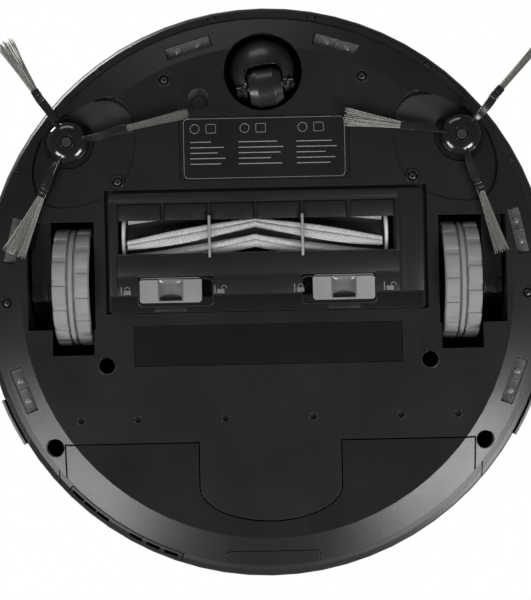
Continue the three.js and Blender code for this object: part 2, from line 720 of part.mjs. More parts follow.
// Open-bottomed box that holds one wheel, with the swing arm's pivot pin across it.
function wheelHousing(side) {
  const [x0, x1] = acrossX(side, WELL_IN, WELL_OUT);
  const front = ARM_PIVOT_Y - 7;
  const back = WELL_TAIL + 1;
  const floor = FLOOR_Z + GAP;
  const box = cut(
    block(x0 - WALL, x1 + WALL, front - WALL, back + WALL, floor, WELL_TOP + WALL),
    block(x0, x1, front, back, floor - 5, WELL_TOP),
  );
  const pin = rod(PIVOT_R, x0 - 1, x1 + 1, ARM_PIVOT_Y, ARM_PIVOT_Z);
  const { x, y } = cliffPlace("side", side);
  const lensRoom = rimBlock(CLIFF_L + GAP, CLIFF_W + GAP, 0, SKIRT_Z + 4, x, y);
  const housing = cut(join(box, pin), lensRoom).intersect(innerRoom());
  return mesh(`wheel_housing_${sideName(side)}`, housing, darkPlastic);
}

// Swing arm: the gear and motor drum beside the tyre, the arm to the pivot and the drive axle.
function wheelArm(side) {
  const [x0, x1] = acrossX(side, DRUM_IN, DRUM_OUT);
  const [a0, a1] = acrossX(side, WHEEL_X - 7, DRUM_IN + 1);
  const drum = rod(DRUM_R, x0, x1, WHEEL_Y, WHEEL_Z, 28);
  const eye = rod(PIVOT_R + 3.5, x0, x1, ARM_PIVOT_Y, ARM_PIVOT_Z, 16);
  const bar = block(x0, x1, ARM_PIVOT_Y, WHEEL_Y, ARM_PIVOT_Z - 5, ARM_PIVOT_Z + 12);
  const axle = rod(AXLE_R, a0, a1, WHEEL_Y, WHEEL_Z);
  const bore = rod(PIVOT_R + RUN, x0 - 1, x1 + 1, ARM_PIVOT_Y, ARM_PIVOT_Z);
  return mesh(`wheel_arm_${sideName(side)}`, cut(join(drum, eye, bar, axle), bore), glossBlack);
}

function wheelRim(side) {
  const half = TYRE_W / 2 - 1.5;
  const [x0, x1] = acrossX(side, WHEEL_X - half, WHEEL_X + half);
  const [b0, b1] = acrossX(side, WHEEL_X - 8, WHEEL_X + half + 1);
  const rimR = TYRE_R - TYRE_DEPTH - GAP;
  const dish = rod(rimR - 5, ...acrossX(side, WHEEL_X + 3, WHEEL_X + half + 1), WHEEL_Y, WHEEL_Z, 28);
  return mesh(
    `wheel_rim_${sideName(side)}`,
    cut(
      rod(rimR, x0, x1, WHEEL_Y, WHEEL_Z, TYRE_STEPS),
      cut(dish, rod(AXLE_R + 5, x0, x1, WHEEL_Y, WHEEL_Z)),
      rod(AXLE_R + RUN, b0, b1, WHEEL_Y, WHEEL_Z),
    ),
    darkPlastic,
  );
}

function wheelTyre(side) {
  const [x0, x1] = acrossX(side, WHEEL_X - TYRE_W / 2, WHEEL_X + TYRE_W / 2);
  const ring = rod(TYRE_R, x0, x1, WHEEL_Y, WHEEL_Z, TYRE_STEPS);
  const inner = rod(TYRE_R - TYRE_DEPTH, x0 - 1, x1 + 1, WHEEL_Y, WHEEL_Z, TYRE_STEPS);
  return mesh(`wheel_tyre_${sideName(side)}`, cut(ring, inner), greyRubber);
}

// ---- Caster: a domed cup that swivels, with a barrel roller trailing in it --------------------

function caster() {
  const group = new THREE.Group();
  group.position.set(0, CASTER_Y, 0);
  group.rotation.z = CASTER_TURN;
  const domeCentre = ROLLER_R * 2 + 2;
  const ball = new THREE.SphereGeometry(CASTER_CUP_R, 28, 16);
  ball.rotateX(Math.PI / 2);
  ball.scale(1, 1, (domeCentre - CASTER_CUP_LOW) / CASTER_CUP_R);
  ball.translate(0, 0, domeCentre);
  const cup = solid(ball).intersect(block(-30, 30, -30, 30, 0, domeCentre));
  const top = CASTER_WELL_TOP - 1;
  const collar = post(CASTER_CUP_R, domeCentre - 0.1, top, 0, 0, 28);
  const stem = post(CASTER_STEM_R, top - 1, top + 9, 0, 0);
  const slotHalf = ROLLER_W / 2 + 1.2;
  const clear = ROLLER_R + 1.5;
  const arch = rectangle(-slotHalf, slotHalf, CASTER_TRAIL - clear, CASTER_TRAIL + 60, 4);
  const slot = join(
    prism(arch, -1, ROLLER_Z, 4).intersect(block(-30, 30, -30, 30, -2, ROLLER_Z)),
    rod(clear, -slotHalf, slotHalf, CASTER_TRAIL, ROLLER_Z, 24),
  );
  const pinEnd = slotHalf + 4.2;
  const eyes = rod(ROLLER_PIN_R + RUN, -pinEnd - 0.5, pinEnd + 0.5, CASTER_TRAIL, ROLLER_Z);
  const cheeks = join(
    ...eachSide((side) =>
      rod(4.5, ...acrossX(side, slotHalf, slotHalf + 2.5), CASTER_TRAIL, ROLLER_Z, 16),
    ),
  );
  const swivel = cut(join(cup, collar, stem, cheeks), slot, eyes);
  const barrel = [
    [ROLLER_PIN_R + RUN, -ROLLER_W / 2],
    [ROLLER_R - 2.5, -ROLLER_W / 2],
    [ROLLER_R, -ROLLER_W / 4],
    [ROLLER_R, ROLLER_W / 4],
    [ROLLER_R - 2.5, ROLLER_W / 2],
    [ROLLER_PIN_R + RUN, ROLLER_W / 2],
    [ROLLER_PIN_R + RUN, -ROLLER_W / 2],
  ];
  const wheel = new THREE.LatheGeometry(barrel.map(([r, x]) => new THREE.Vector2(r, x)), ROLLER_STEPS);
  wheel.rotateZ(-Math.PI / 2);
  wheel.rotateX(Math.PI / ROLLER_STEPS);
  wheel.translate(0, CASTER_TRAIL, ROLLER_Z);
  const axle = rod(ROLLER_PIN_R, -pinEnd, pinEnd, CASTER_TRAIL, ROLLER_Z);
  group.add(
    mesh("caster_swivel", swivel, glossBlack),
    mesh("caster_roller", solid(wheel), blackRubber),
    mesh("caster_axle", axle, steel),
  );
  return group;
}

// ---- Side brushes -----------------------------------------------------------------------------

// A domed hub with three rubber arms, each ending in a tuft of bristles.
function sideBrush(side) {
  const hub = turned(
    [
      [0, 5.5],
      [4.2, 5.5],
      [4.2, 3.4],
      [8, 4],
      [HUB_R - 2, 6.5],
      [HUB_R, 9],
      [HUB_R, UNDER_Z + 1.4],
      [SHAFT_R + RUN, UNDER_Z + 1.4],
      [SHAFT_R + RUN, 7.5],
      [0, 7.5],
    ],
    24,
  );
  const arms = ARM_ANGLES[sideName(side)].map((angle) => {
    const turn = -rad(angle);
    const strap = prism(rectangle(HUB_R - 3, ARM_REACH, -2.5, 2.5), 5.6, 7.2, 1, turn);
    const ferrule = prism(rectangle(ARM_REACH - 4, ARM_REACH + 2, -3, 3), 4.6, 7.8, 1, turn);
    const tuftEdge = [[ARM_REACH, -1.5], [TUFT_REACH, -5.5], [TUFT_REACH, 5.5], [ARM_REACH, 1.5]];
    const tuft = prism(polygon(tuftEdge), 4.8, 6.4, 1, turn);
    return join(strap, ferrule, tuft);
  });
  const made = mesh(`side_brush_${sideName(side)}`, join(hub, ...arms), blackRubber);
  made.position.set(side * HUB_X, HUB_Y, 0);
  return made;
}

// Gearbox and motor over each side brush, with the output shaft through the underside.
function sideBrushMotor(side) {
  const floor = FLOOR_Z + GAP;
  const x = side * HUB_X;
  const gearbox = post(16, floor, 27, x, HUB_Y, MID_STEPS).intersect(innerRoom());
  const motor = post(11, 26, 50, x - side * 6, HUB_Y + 4, FINE_STEPS);
  const shaft = post(SHAFT_R, 8, floor + 1, x, HUB_Y);
  return mesh(`side_brush_motor_${sideName(side)}`, join(gearbox, motor, shaft), darkPlastic);
}

// ---- Main brush, its bay, its drive and the guard ---------------------------------------------

function brushBay(couplingBore) {
  const outerR = CHAMBER_R + WALL;
  const floor = FLOOR_Z + GAP;
  const roofed = (r, x0, x1, bottom) =>
    join(
      rod(r, x0, x1, BRUSH_Y, BRUSH_Z, MID_STEPS),
      block(x0, x1, BRUSH_Y - r, BRUSH_Y + r, bottom, BRUSH_Z),
    );
  const flangeHalf = GUARD_HALF_W + GUARD_SLIT + 2;
  const flange = cut(
    block(-flangeHalf, flangeHalf, GUARD_FRONT - GUARD_SLIT - 2, GUARD_BACK + 4, floor, floor + 2),
    block(-CHAMBER_R * 4, GUARD_HALF_W - 2, BRUSH_Y - CHAMBER_R, GUARD_BACK + 0.8, floor - 1, floor + 3),
  );
  const chamber = roofed(CHAMBER_R, CHAMBER_FROM, CHAMBER_TO, floor - 5);
  const whole = roofed(outerR, CHAMBER_FROM - WALL, CHAMBER_TO + WALL, floor);
  const shell = cut(whole, block(-BODY_R, BODY_R, -BODY_R, BODY_R, 0, floor));
  const window = block(DUCT_FROM, DUCT_TO, BRUSH_Y, BRUSH_Y + outerR + 5, DUCT_BOTTOM, DUCT_TOP);
  return mesh("brush_bay", cut(join(shell, flange), chamber, window, couplingBore), darkPlastic);
}

// Gearbox at the left end of the main brush, with its motor above the bay.
function brushMotor() {
  const x0 = CHAMBER_TO + WALL + GAP;
  const top = BRUSH_MOTOR_Z + BRUSH_MOTOR_R + 0.5;
  const [front, back] = [BRUSH_Y - CHAMBER_R, BRUSH_Y + CHAMBER_R];
  const gearbox = block(x0, GUARD_HALF_W + 1, front, back, FLOOR_Z + 3, top);
  const motor = rod(BRUSH_MOTOR_R, x0 - 38, x0 + 1, BRUSH_Y, BRUSH_MOTOR_Z, FINE_STEPS);
  const coupling = rod(BRUSH_COUPLING_R, CHAMBER_TO - 2.6, x0 + 1, BRUSH_Y, BRUSH_Z);
  const bore = rod(BRUSH_COUPLING_R + RUN, CHAMBER_TO - 1, x0 + 0.2, BRUSH_Y, BRUSH_Z);
  return { drive: mesh("brush_motor", join(gearbox, motor, coupling), darkPlastic), bore };
}

function mainBrush() {
  const core = rod(BRUSH_R - BRISTLE_DEEP, BRUSH_FROM, BRUSH_TO, BRUSH_Y, BRUSH_Z, FINE_STEPS);
  const span = BRUSH_TO - BRUSH_FROM;
  const middle = (BRUSH_FROM + BRUSH_TO) / 2;
  const vanes = Array.from({ length: BRISTLE_ROWS }, (_, i) => {
    const turn = ((2 * i + 1) * Math.PI) / BRISTLE_ROWS;
    const height = BRISTLE_DEEP + 2;
    const geometry = new THREE.BoxGeometry(span - 6, BRISTLE_THICK, height);
    geometry.translate(0, 0, BRUSH_R - height / 2);
    geometry.rotateX(turn);
    geometry.translate(middle, BRUSH_Y, BRUSH_Z);
    return solid(geometry);
  });
  const spindle = rod(3, BRUSH_FROM - 3.5, BRUSH_FROM + 1, BRUSH_Y, BRUSH_Z);
  return mesh("main_brush", join(core, ...vanes, spindle), blackRubber);
}

// Frame over the brush mouth, with ribs on the front lip and bars across the mouth.
function brushGuard() {
  const frame = rectangle(-GUARD_HALF_W, GUARD_HALF_W, GUARD_FRONT, GUARD_BACK, 3);
  const plate = prism(frame, UNDER_Z, FLOOR_Z, 3);
  const from = CHAMBER_FROM + 0.5;
  const to = CHAMBER_TO + 0.5;
  const mouth = block(from, to, MOUTH_FRONT, MOUTH_BACK, 0, FLOOR_Z + 1);
  const lip = block(from, to, LIP_FRONT, MOUTH_FRONT + 1, 0, UNDER_Z + LIP_DEEP);
  const ribs = GUARD_RIBS.map((x) =>
    block(x - 0.8, x + 0.8, LIP_FRONT - 0.5, MOUTH_FRONT, UNDER_Z, FLOOR_Z - 0.5),
  );
  const half = BAR_THICK / 2;
  const bars = BARRED_RIBS.map((i) => GUARD_RIBS[i]).map((x) =>
    block(x - half, x + half, MOUTH_FRONT - 3, MOUTH_BACK + 3, UNDER_Z - BAR_PROUD, UNDER_Z + 0.4),
  );
  const pockets = latchPlaces.map(({ x, inward }) => {
    const reach = LATCH_LENGTH / 2 + GAP;
    const ends = [x - inward * reach, x + inward * (reach + LATCH_TRAVEL)];
    const deep = LATCH_WIDTH / 2 + GAP;
    return block(Math.min(...ends), Math.max(...ends), LATCH_Y - deep, LATCH_Y + deep, 0, FLOOR_Z + 1);
  });
  return mesh("brush_guard", join(cut(plate, mouth, lip, ...pockets), ...ribs, ...bars), blackPlastic);
}

const latchPlaces = [
  { name: "guard_latch_right", x: -LATCH_X, inward: 1 },
  { name: "guard_latch_left", x: LATCH_LEFT_X, inward: -1 },
];

// Sliding latch with a thumb recess and a tongue over the guard's rear edge.
function guardLatch({ name, x }) {
  const half = LATCH_LENGTH / 2;
  const w = LATCH_WIDTH / 2;
  const outline = rectangle(x - half, x + half, LATCH_Y - w, LATCH_Y + w, 2);
  const body = prism(outline, UNDER_Z - 0.4, FLOOR_Z + 2, 3);
  const tongue = block(x - 8.5, x + 8.5, LATCH_Y, GUARD_BACK - 0.4, FLOOR_Z + GAP, FLOOR_Z + 2);
  const thumb = block(x - 7.5, x + 7.5, LATCH_Y - w + 1, LATCH_Y + w - 1, 0, UNDER_Z + 2.6);
  return mesh(name, cut(join(body, tongue), thumb), greyPlastic);
}

// ---- Dust bin, its bay in the body, lid, handle, filter and inlet flap ------------------------

function binBay() {
  const x = BIN_HALF_W + GAP * 2;
  const y0 = BIN_FRONT - GAP * 2;
  const y1 = BIN_BACK + GAP * 2;
  const floor = BIN_BOTTOM - GAP * 2;
  const tub = cut(
    block(-x - WALL, x + WALL, y0 - WALL, y1 + WALL, floor - WALL, BAY_TOP),
    block(-x, x, y0, y1, floor, BAY_TOP + 1),
    block(DUCT_FROM, DUCT_TO, y0 - WALL - 1, y0 + 1, DUCT_BOTTOM, DUCT_TOP),
    block(-OUTLET_HALF_W, OUTLET_HALF_W, y1 - 1, y1 + WALL + 1, OUTLET_BOTTOM, OUTLET_TOP),
  );
  return mesh("bin_bay", tub, darkPlastic);
}

const STRIP_FRONT = LID_BACK + 1; // front face of the fixed strip behind the lid
const STRIP_BOTTOM = DECK_Z - 9;
const LID_SEAT = DECK_Z - LID_THICK - GAP;
const LID_PIVOT_Y = LID_BACK - 2.1;

function dustBin() {
  const x = BIN_HALF_W;
  const w = BIN_WALL;
  const shell = block(-x, x, BIN_FRONT, BIN_BACK, BIN_BOTTOM, BIN_TOP);
  const inside = block(-x + w, x - w, BIN_FRONT + w, BIN_BACK - w, BIN_BOTTOM + w, STRIP_BOTTOM);
  const mouth = block(-x + w, x - w, BIN_FRONT + w, STRIP_FRONT, STRIP_BOTTOM - 1, BIN_TOP + 1);
  const seat = block(-x - 1, x + 1, BIN_FRONT - 1, STRIP_FRONT, LID_SEAT, BIN_TOP + 1);
  const lidRelief = block(-x - 1, x + 1, LID_PIVOT_Y - 2.6, STRIP_FRONT, LID_SEAT - 1.2, BIN_TOP + 1);
  const handleSeat = block(
    -HANDLE_HALF_W - 1, HANDLE_HALF_W + 1, HANDLE_Y - 0.8, BIN_BACK - 1.8, DECK_Z - 3.6, BIN_TOP + 1,
  );
  const fingerWell = block(
    -HANDLE_HALF_W + 7, HANDLE_HALF_W - 7, HANDLE_Y + 5, BIN_BACK - 2.4, DECK_Z - 7.5, BIN_TOP + 1,
  );
  return mesh(
    "dust_bin",
    cut(
      shell,
      inside,
      mouth,
      seat,
      lidRelief,
      handleSeat,
      fingerWell,
      block(DUCT_FROM, DUCT_TO, BIN_FRONT - 1, BIN_FRONT + w + 1, DUCT_BOTTOM, DUCT_TOP),
      block(-OUTLET_HALF_W, OUTLET_HALF_W, BIN_BACK - w - 1, BIN_BACK + 1, OUTLET_BOTTOM, OUTLET_TOP),
    ),
    smokedPlastic,
  );
}

function binLid() {
  const x = BIN_HALF_W - 0.2;
  const lid = prism(rectangle(-x, x, BIN_FRONT + 0.2, LID_BACK, 2), DECK_Z - LID_THICK, DECK_Z, 3);
  return mesh("bin_lid", lid, glossBlack);
}

function binHandle() {
  const x = HANDLE_HALF_W;
  const back = HANDLE_PIVOT_Y + HANDLE_THICK / 2;
  const bail = cut(
    block(-x, x, HANDLE_Y, back, DECK_Z - HANDLE_THICK, DECK_Z),
    block(-x + 5.5, x - 5.5, HANDLE_Y + 4.5, back + 1, DECK_Z - HANDLE_THICK - 1, DECK_Z + 1),
  );
  return mesh("bin_handle", bail, greyPlastic);
}

// Pleated filter in front of the air outlet.
function binFilter() {
  const half = OUTLET_HALF_W + 3;
  const back = BIN_BACK - BIN_WALL - GAP;
  const frame = block(-half, half, back - 9, back, OUTLET_BOTTOM - 3, OUTLET_TOP + 3);
  const pleats = [];
  const pitch = 9;
  for (let x = -half + pitch; x < half - pitch / 2; x += pitch) {
    const groove = [[x - 3, back - 10], [x + 3, back - 10], [x, back - 3]];
    pleats.push(prism(polygon(groove), OUTLET_BOTTOM, OUTLET_TOP));
  }
  return mesh("bin_filter", cut(frame, ...pleats), filterWhite);
}

// Rubber flap that hangs over the inlet inside the bin.
function inletFlap() {
  const y = BIN_FRONT + BIN_WALL + GAP;
  return mesh(
    "inlet_flap",
    block(DUCT_FROM - 2, DUCT_TO + 2, y, y + 1.4, DUCT_BOTTOM - 2, DUCT_TOP + 3),
    blackRubber,
  );
}

// ---- Fan --------------------------------------------------------------------------------------

// Round housing open to the bin on its upper face, with a duct out to the grille.
function fanHousing() {
  const mid = (EXHAUST_FROM + EXHAUST_TO) / 2;
  const duct = (half, z0, z1, from, to) => {
    const run = new THREE.BoxGeometry(to - from, half * 2, z1 - z0);
    run.translate((from + to) / 2, 0, (z0 + z1) / 2);
    run.rotateZ(rad(mid));
    return solid(run);
  };
  const body = join(
    post(FAN_R, FAN_BOTTOM, FAN_TOP, FAN_X, FAN_Y, MID_STEPS),
    duct(DUCT_HALF_W, FAN_BOTTOM, FAN_BOTTOM + DUCT_H, 110, SKIRT_R - WALL - 2),
  );
  const hollow = join(
    post(FAN_R - WALL, FAN_BOTTOM + WALL, FAN_TOP - WALL, FAN_X, FAN_Y, MID_STEPS),
    duct(DUCT_HALF_W - WALL, FAN_BOTTOM + WALL, FAN_BOTTOM + DUCT_H - WALL, 100, SKIRT_R),
  );
  const eye = post(15, FAN_TOP - 5, FAN_TOP + 1, FAN_X, FAN_Y, FINE_STEPS);
  const stator = join(
    post(12, FAN_BOTTOM + 1, FAN_BOTTOM + 11, FAN_X, FAN_Y, FINE_STEPS),
    post(2, FAN_BOTTOM + 5, FAN_BOTTOM + 20, FAN_X, FAN_Y),
  );
  return mesh("fan_housing", join(cut(body, hollow, eye), stator), darkPlastic);
}

function fanImpeller() {
  const z = FAN_BOTTOM + 12;
  const disc = post(IMPELLER_R, z, z + 2, 0, 0, MID_STEPS);
  const hub = post(6, z, z + 11, 0, 0, FINE_STEPS);
  const blades = Array.from({ length: FAN_BLADES }, (_, i) =>
    prism(rectangle(4, IMPELLER_R - 1, -0.9, 0.9), z + 1, z + 11, 1, (i * 2 * Math.PI) / FAN_BLADES),
  );
  const made = mesh("fan_impeller", cut(join(disc, hub, ...blades), post(2 + RUN, 0, 90)), greyPlastic);
  made.position.set(FAN_X, FAN_Y, 0);
  return made;
}

// ---- Laser turret -----------------------------------------------------------------------------

function turret() {
  const group = new THREE.Group();
  group.position.set(0, TURRET_Y, DECK_Z);
  const pulleyAt = [BELT_PITCH * Math.cos(rad(35)), BELT_PITCH * Math.sin(rad(35))];
  const base = join(
    turned([[0, GAP], [TURRET_R + 3, GAP], [TURRET_R, 4], [0, 4]], MID_STEPS),
    post(5, 3, 12, 0, 0),
    post(2, 3, 9, ...pulleyAt),
  );
  const rotorBottom = 4 + GAP;
  const window = cut(
    post(ROTOR_R + 2, 9, 11.8, 0, 0, 24),
    join(post(ROTOR_R - 3, 8.5, 12.2, 0, 0, 24), block(-40, 40, 0, 40, 8.5, 12.2)),
  );
  const rotor = cut(
    post(ROTOR_R, rotorBottom, 13.4, 0, 0, MID_STEPS),
    post(5 + RUN, 0, 15, 0, 0),
    window,
  );
  const pulley = cut(
    post(PULLEY_R, rotorBottom, 8.5, 0, 0, FINE_STEPS),
    post(2 + RUN, 0, 12, 0, 0),
  );
  const capBottom = TURRET_H - 4.5;
  const pillars = [60, 150, 240, 330].map((angle) =>
    prism(sector(TURRET_R - 5, TURRET_R - 1.5, rad(angle), rad(angle + 14)), 4 + GAP, capBottom + 1, 3),
  );
  const dome = turned(
    [
      [0, capBottom],
      [TURRET_R - 0.5, capBottom],
      [TURRET_R, capBottom + 1],
      [TURRET_R, TURRET_H - 1.5],
      [TURRET_R - 1.5, TURRET_H],
      [0, TURRET_H],
    ],
    MID_STEPS,
  );
  const pulleyMesh = mesh("lidar_pulley", pulley, greyPlastic);
  pulleyMesh.position.set(pulleyAt[0], pulleyAt[1], 0);
  group.add(
    mesh("lidar_base", base, darkPlastic),
    mesh("lidar_rotor", rotor, glossBlack),
    pulleyMesh,
    mesh("lidar_cap", join(dome, ...pillars), glossBlack),
  );
  return group;
}

// ---- Buttons and power switch -----------------------------------------------------------------

function button(name, r, x, material) {
  const body = join(
    post(r, DECK_UNDER - 1.5, DECK_Z + 0.8, 0, 0, FINE_STEPS),
    post(r + 1.2, DECK_UNDER - 2.8, DECK_UNDER - GAP, 0, 0, FINE_STEPS),
  );
  const made = mesh(name, body, material);
  made.position.set(x, START_Y, 0);
  return made;
}

// Rocker in the side wall, standing tilted to its off side.
function powerSwitch() {
  const group = new THREE.Group();
  group.rotation.z = rad(SWITCH_ANGLE);
  const rocker = new THREE.Group();
  rocker.position.set(BODY_R - 5, 0, 0);
  rocker.rotation.z = -rad(SWITCH_TILT);
  const face = polygon([[-2.5, -7], [3.4, -9.2], [2.4, 0], [3.4, 9.2], [-2.5, 7]]);
  rocker.add(mesh("power_switch", prism(face, SWITCH_Z - 6.5, SWITCH_Z + 6.5), greyPlastic));
  group.add(rocker);
  return group;
}

// ---- Water tank -------------------------------------------------------------------------------

const TANK_LID_Z = TANK_TOP - 3;

// The room of the tank's press latch, grown by some clearance.
function tankLatchRoom(grow, top) {
  const half = TANK_LATCH_HALF_W + grow;
  return prism(rectangle(-half, half, TANK_LATCH_FRONT - grow, BODY_R + 20, 3 + grow), 0, top, 3);
}

function waterTank() {
  const room = tankRoom(-GAP, 0, TANK_LID_Z - GAP).intersect(hull());
  const latchPocket = tankLatchRoom(GAP, TANK_TOP + 1);
  const insideHull = turned(
    [
      [0, UNDER_Z + WALL],
      [FLAT_R, UNDER_Z + WALL],
      [SKIRT_R - WALL, SKIRT_Z + WALL],
      [SKIRT_R - WALL, TANK_TOP + 2],
      [0, TANK_TOP + 2],
    ],
    RIM_STEPS,
  );
  const inner = cut(
    tankRoom(-GAP - WALL, UNDER_Z + WALL, TANK_TOP + 1).intersect(insideHull),
    tankLatchRoom(GAP + WALL, TANK_TOP + 2),
  );
  return mesh("water_tank", cut(room, inner, latchPocket), blackPlastic);
}

function tankLid() {
  const plate = tankRoom(-GAP, TANK_LID_Z, TANK_TOP - 0.2).intersect(hull());
  return mesh(
    "tank_lid",
    cut(
      plate,
      tankLatchRoom(GAP, TANK_TOP + 1),
      post(FILL_R + RUN, 0, TANK_TOP + 1, ...PLUG_AT, FINE_STEPS),
    ),
    darkPlastic,
  );
}

function fillPlug() {
  const plug = post(FILL_R, TANK_LID_Z - 2, TANK_TOP - 0.2, ...PLUG_AT, FINE_STEPS);
  return mesh("fill_plug", plug, blackRubber);
}

// Press latch at the middle of the tank's rear edge, flush with the sloped band.
function tankLatch() {
  const top = TANK_CEILING - TANK_LATCH_TRAVEL - GAP;
  return mesh("tank_latch", tankLatchRoom(0, top).intersect(hull()), blackPlastic);
}

// ---- Small fixed pieces -----------------------------------------------------------------------

function cliffLens({ name, x, y, r }) {
  const rise = SKIRT_RISE / SKIRT_WIDTH;
  const z = UNDER_Z + (r - FLAT_R) * rise + 1.6;
  const lens = rimBlock(CLIFF_L - 2 * GAP, CLIFF_W - 2 * GAP, z, z + 2, x, y);
  return mesh(`cliff_lens_${name}`, lens, smokedPlastic);
}

function plateInlay(name, { x, front, back, thick }, material) {
  const inlay = block(-x + GAP, x - GAP, front + GAP, back - GAP, UNDER_Z + 0.1, UNDER_Z + 0.1 + thick);
  return mesh(name, inlay, material);
}

// Sensor sunk in a round hole, its small face set against the hole's rear side.
function carpetSensor() {
  const face = UNDER_Z + CARPET_DEEP;
  const well = post(CARPET_R, 0, face + 1.5, CARPET_X, CARPET_Y, FINE_STEPS);
  const body = post(CARPET_R + 2, FLOOR_Z + GAP, face + 8, CARPET_X, CARPET_Y, FINE_STEPS);
  const disc = post(4.2, face, face + 2, CARPET_X, CARPET_Y + 2.4, FINE_STEPS);
  return mesh("floor_sensor", join(cut(body, well), disc), greyPlastic);
}

// Four cells in a wrap, lying in front of the brush bay.
function batteryPack() {
  const rows = [0, 1].map((i) =>
    rod(
      CELL_R,
      -BATTERY_HALF_W,
      BATTERY_HALF_W,
      CELL_ROW_FRONT + CELL_R + i * 2 * (CELL_R - 0.2),
      FLOOR_Z + GAP + CELL_R,
      16,
    ),
  );
  const { front, back, height } = BATTERY_WRAP;
  const wrap = block(-BATTERY_HALF_W, BATTERY_HALF_W, front, back, FLOOR_Z + 2, FLOOR_Z + 2 + height);
  return mesh("battery_pack", join(...rows, wrap), cellBlue);
}

function mainBoard() {
  const { x, front, back, z, thick } = BOARD;
  const board = block(-x, x, front, back, z, z + thick);
  const chips = CHIPS.map(([cx, cy, half]) =>
    block(cx - half, cx + half, cy - half, cy + half, z + 1, z + thick + CHIP_H),
  );
  return mesh("main_board", join(board, ...chips), boardGreen);
}

// ---- The whole robot --------------------------------------------------------------------------

const brushDrive = brushMotor();
const robot = new THREE.Group();
robot.add(
  lowerShell(),
  upperShell(),
  exhaustGrille(),
  bumper(),
  bumperWindow(),
  batteryPack(),
  mainBoard(),
  ...eachSide(wheelHousing),
  ...eachSide(wheelArm),
  ...eachSide(wheelRim),
  ...eachSide(wheelTyre),
  caster(),
  ...eachSide(sideBrush),
  ...eachSide(sideBrushMotor),
  brushBay(brushDrive.bore),
  brushDrive.drive,
  mainBrush(),
  brushGuard(),
  ...latchPlaces.map(guardLatch),
  binBay(),
  dustBin(),
  binLid(),
  binHandle(),
  binFilter(),
  inletFlap(),
  fanHousing(),
  fanImpeller(),
  turret(),
  button("start_button", START_R, 0, greyPlastic),
  button("reset_button", RESET_R, RESET_X, greyPlastic),
  powerSwitch(),
  waterTank(),
  tankLid(),
  fillPlug(),
  tankLatch(),
  ...cliffPlaces.map(cliffLens),
  ...eachSide(chargingContact),
  carpetSensor(),
  plateInlay("label_plate", LABEL, labelGrey),
  plateInlay("floor_strip", STRIP, blackPlastic),
);

export default robot;
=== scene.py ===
"""Robot vacuum, seen from underneath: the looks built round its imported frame."""
import json
import math
import random

import bmesh
import bpy
from mathutils import Matrix, Vector


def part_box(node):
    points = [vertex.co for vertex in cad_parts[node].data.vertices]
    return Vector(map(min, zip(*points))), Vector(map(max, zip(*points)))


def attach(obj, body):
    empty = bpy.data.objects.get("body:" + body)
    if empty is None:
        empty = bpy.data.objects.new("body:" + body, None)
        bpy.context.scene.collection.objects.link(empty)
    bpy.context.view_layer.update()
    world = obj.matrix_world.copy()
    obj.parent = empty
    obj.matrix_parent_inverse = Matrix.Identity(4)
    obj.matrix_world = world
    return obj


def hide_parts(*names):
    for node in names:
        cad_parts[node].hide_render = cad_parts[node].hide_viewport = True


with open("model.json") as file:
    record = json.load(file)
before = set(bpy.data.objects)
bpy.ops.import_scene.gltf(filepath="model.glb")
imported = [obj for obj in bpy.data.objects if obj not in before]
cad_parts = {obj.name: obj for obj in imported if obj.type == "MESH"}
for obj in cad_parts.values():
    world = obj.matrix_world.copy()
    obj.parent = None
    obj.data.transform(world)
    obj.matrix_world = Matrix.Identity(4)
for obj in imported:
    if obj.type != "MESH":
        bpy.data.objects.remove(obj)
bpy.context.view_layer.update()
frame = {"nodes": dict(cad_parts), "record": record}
nodes = frame["nodes"]
SIDES = (("right", -1), ("left", 1))


# ---- Lower shell -------------------------------------------------------------------------------
# The pan under the robot, injection moulded in black ABS with a fine spark-eroded grain.
# Every other piece is screwed or clipped to it, so its finish is the one most of them share.
class Wire:
    """One output in a material, which can be used in sums."""

    def __init__(self, sheet, socket):
        self.sheet = sheet
        self.socket = socket

    def _maths(self, operation, first, second):
        return self.sheet.add("ShaderNodeMath", {"operation": operation}, {0: first, 1: second})

    def __add__(self, other):
        return self._maths("ADD", self, other)

    def __sub__(self, other):
        return self._maths("SUBTRACT", self, other)

    def __mul__(self, other):
        return self._maths("MULTIPLY", self, other)

    def within(self, low, high, low_out=0.0, high_out=1.0):
        """Maps low..high to the two outputs, and stops there."""
        spans = {1: low, 2: high, 3: low_out, 4: high_out}
        return self.sheet.add("ShaderNodeMapRange", {"clamp": True}, {0: self, **spans})

    __radd__ = __add__


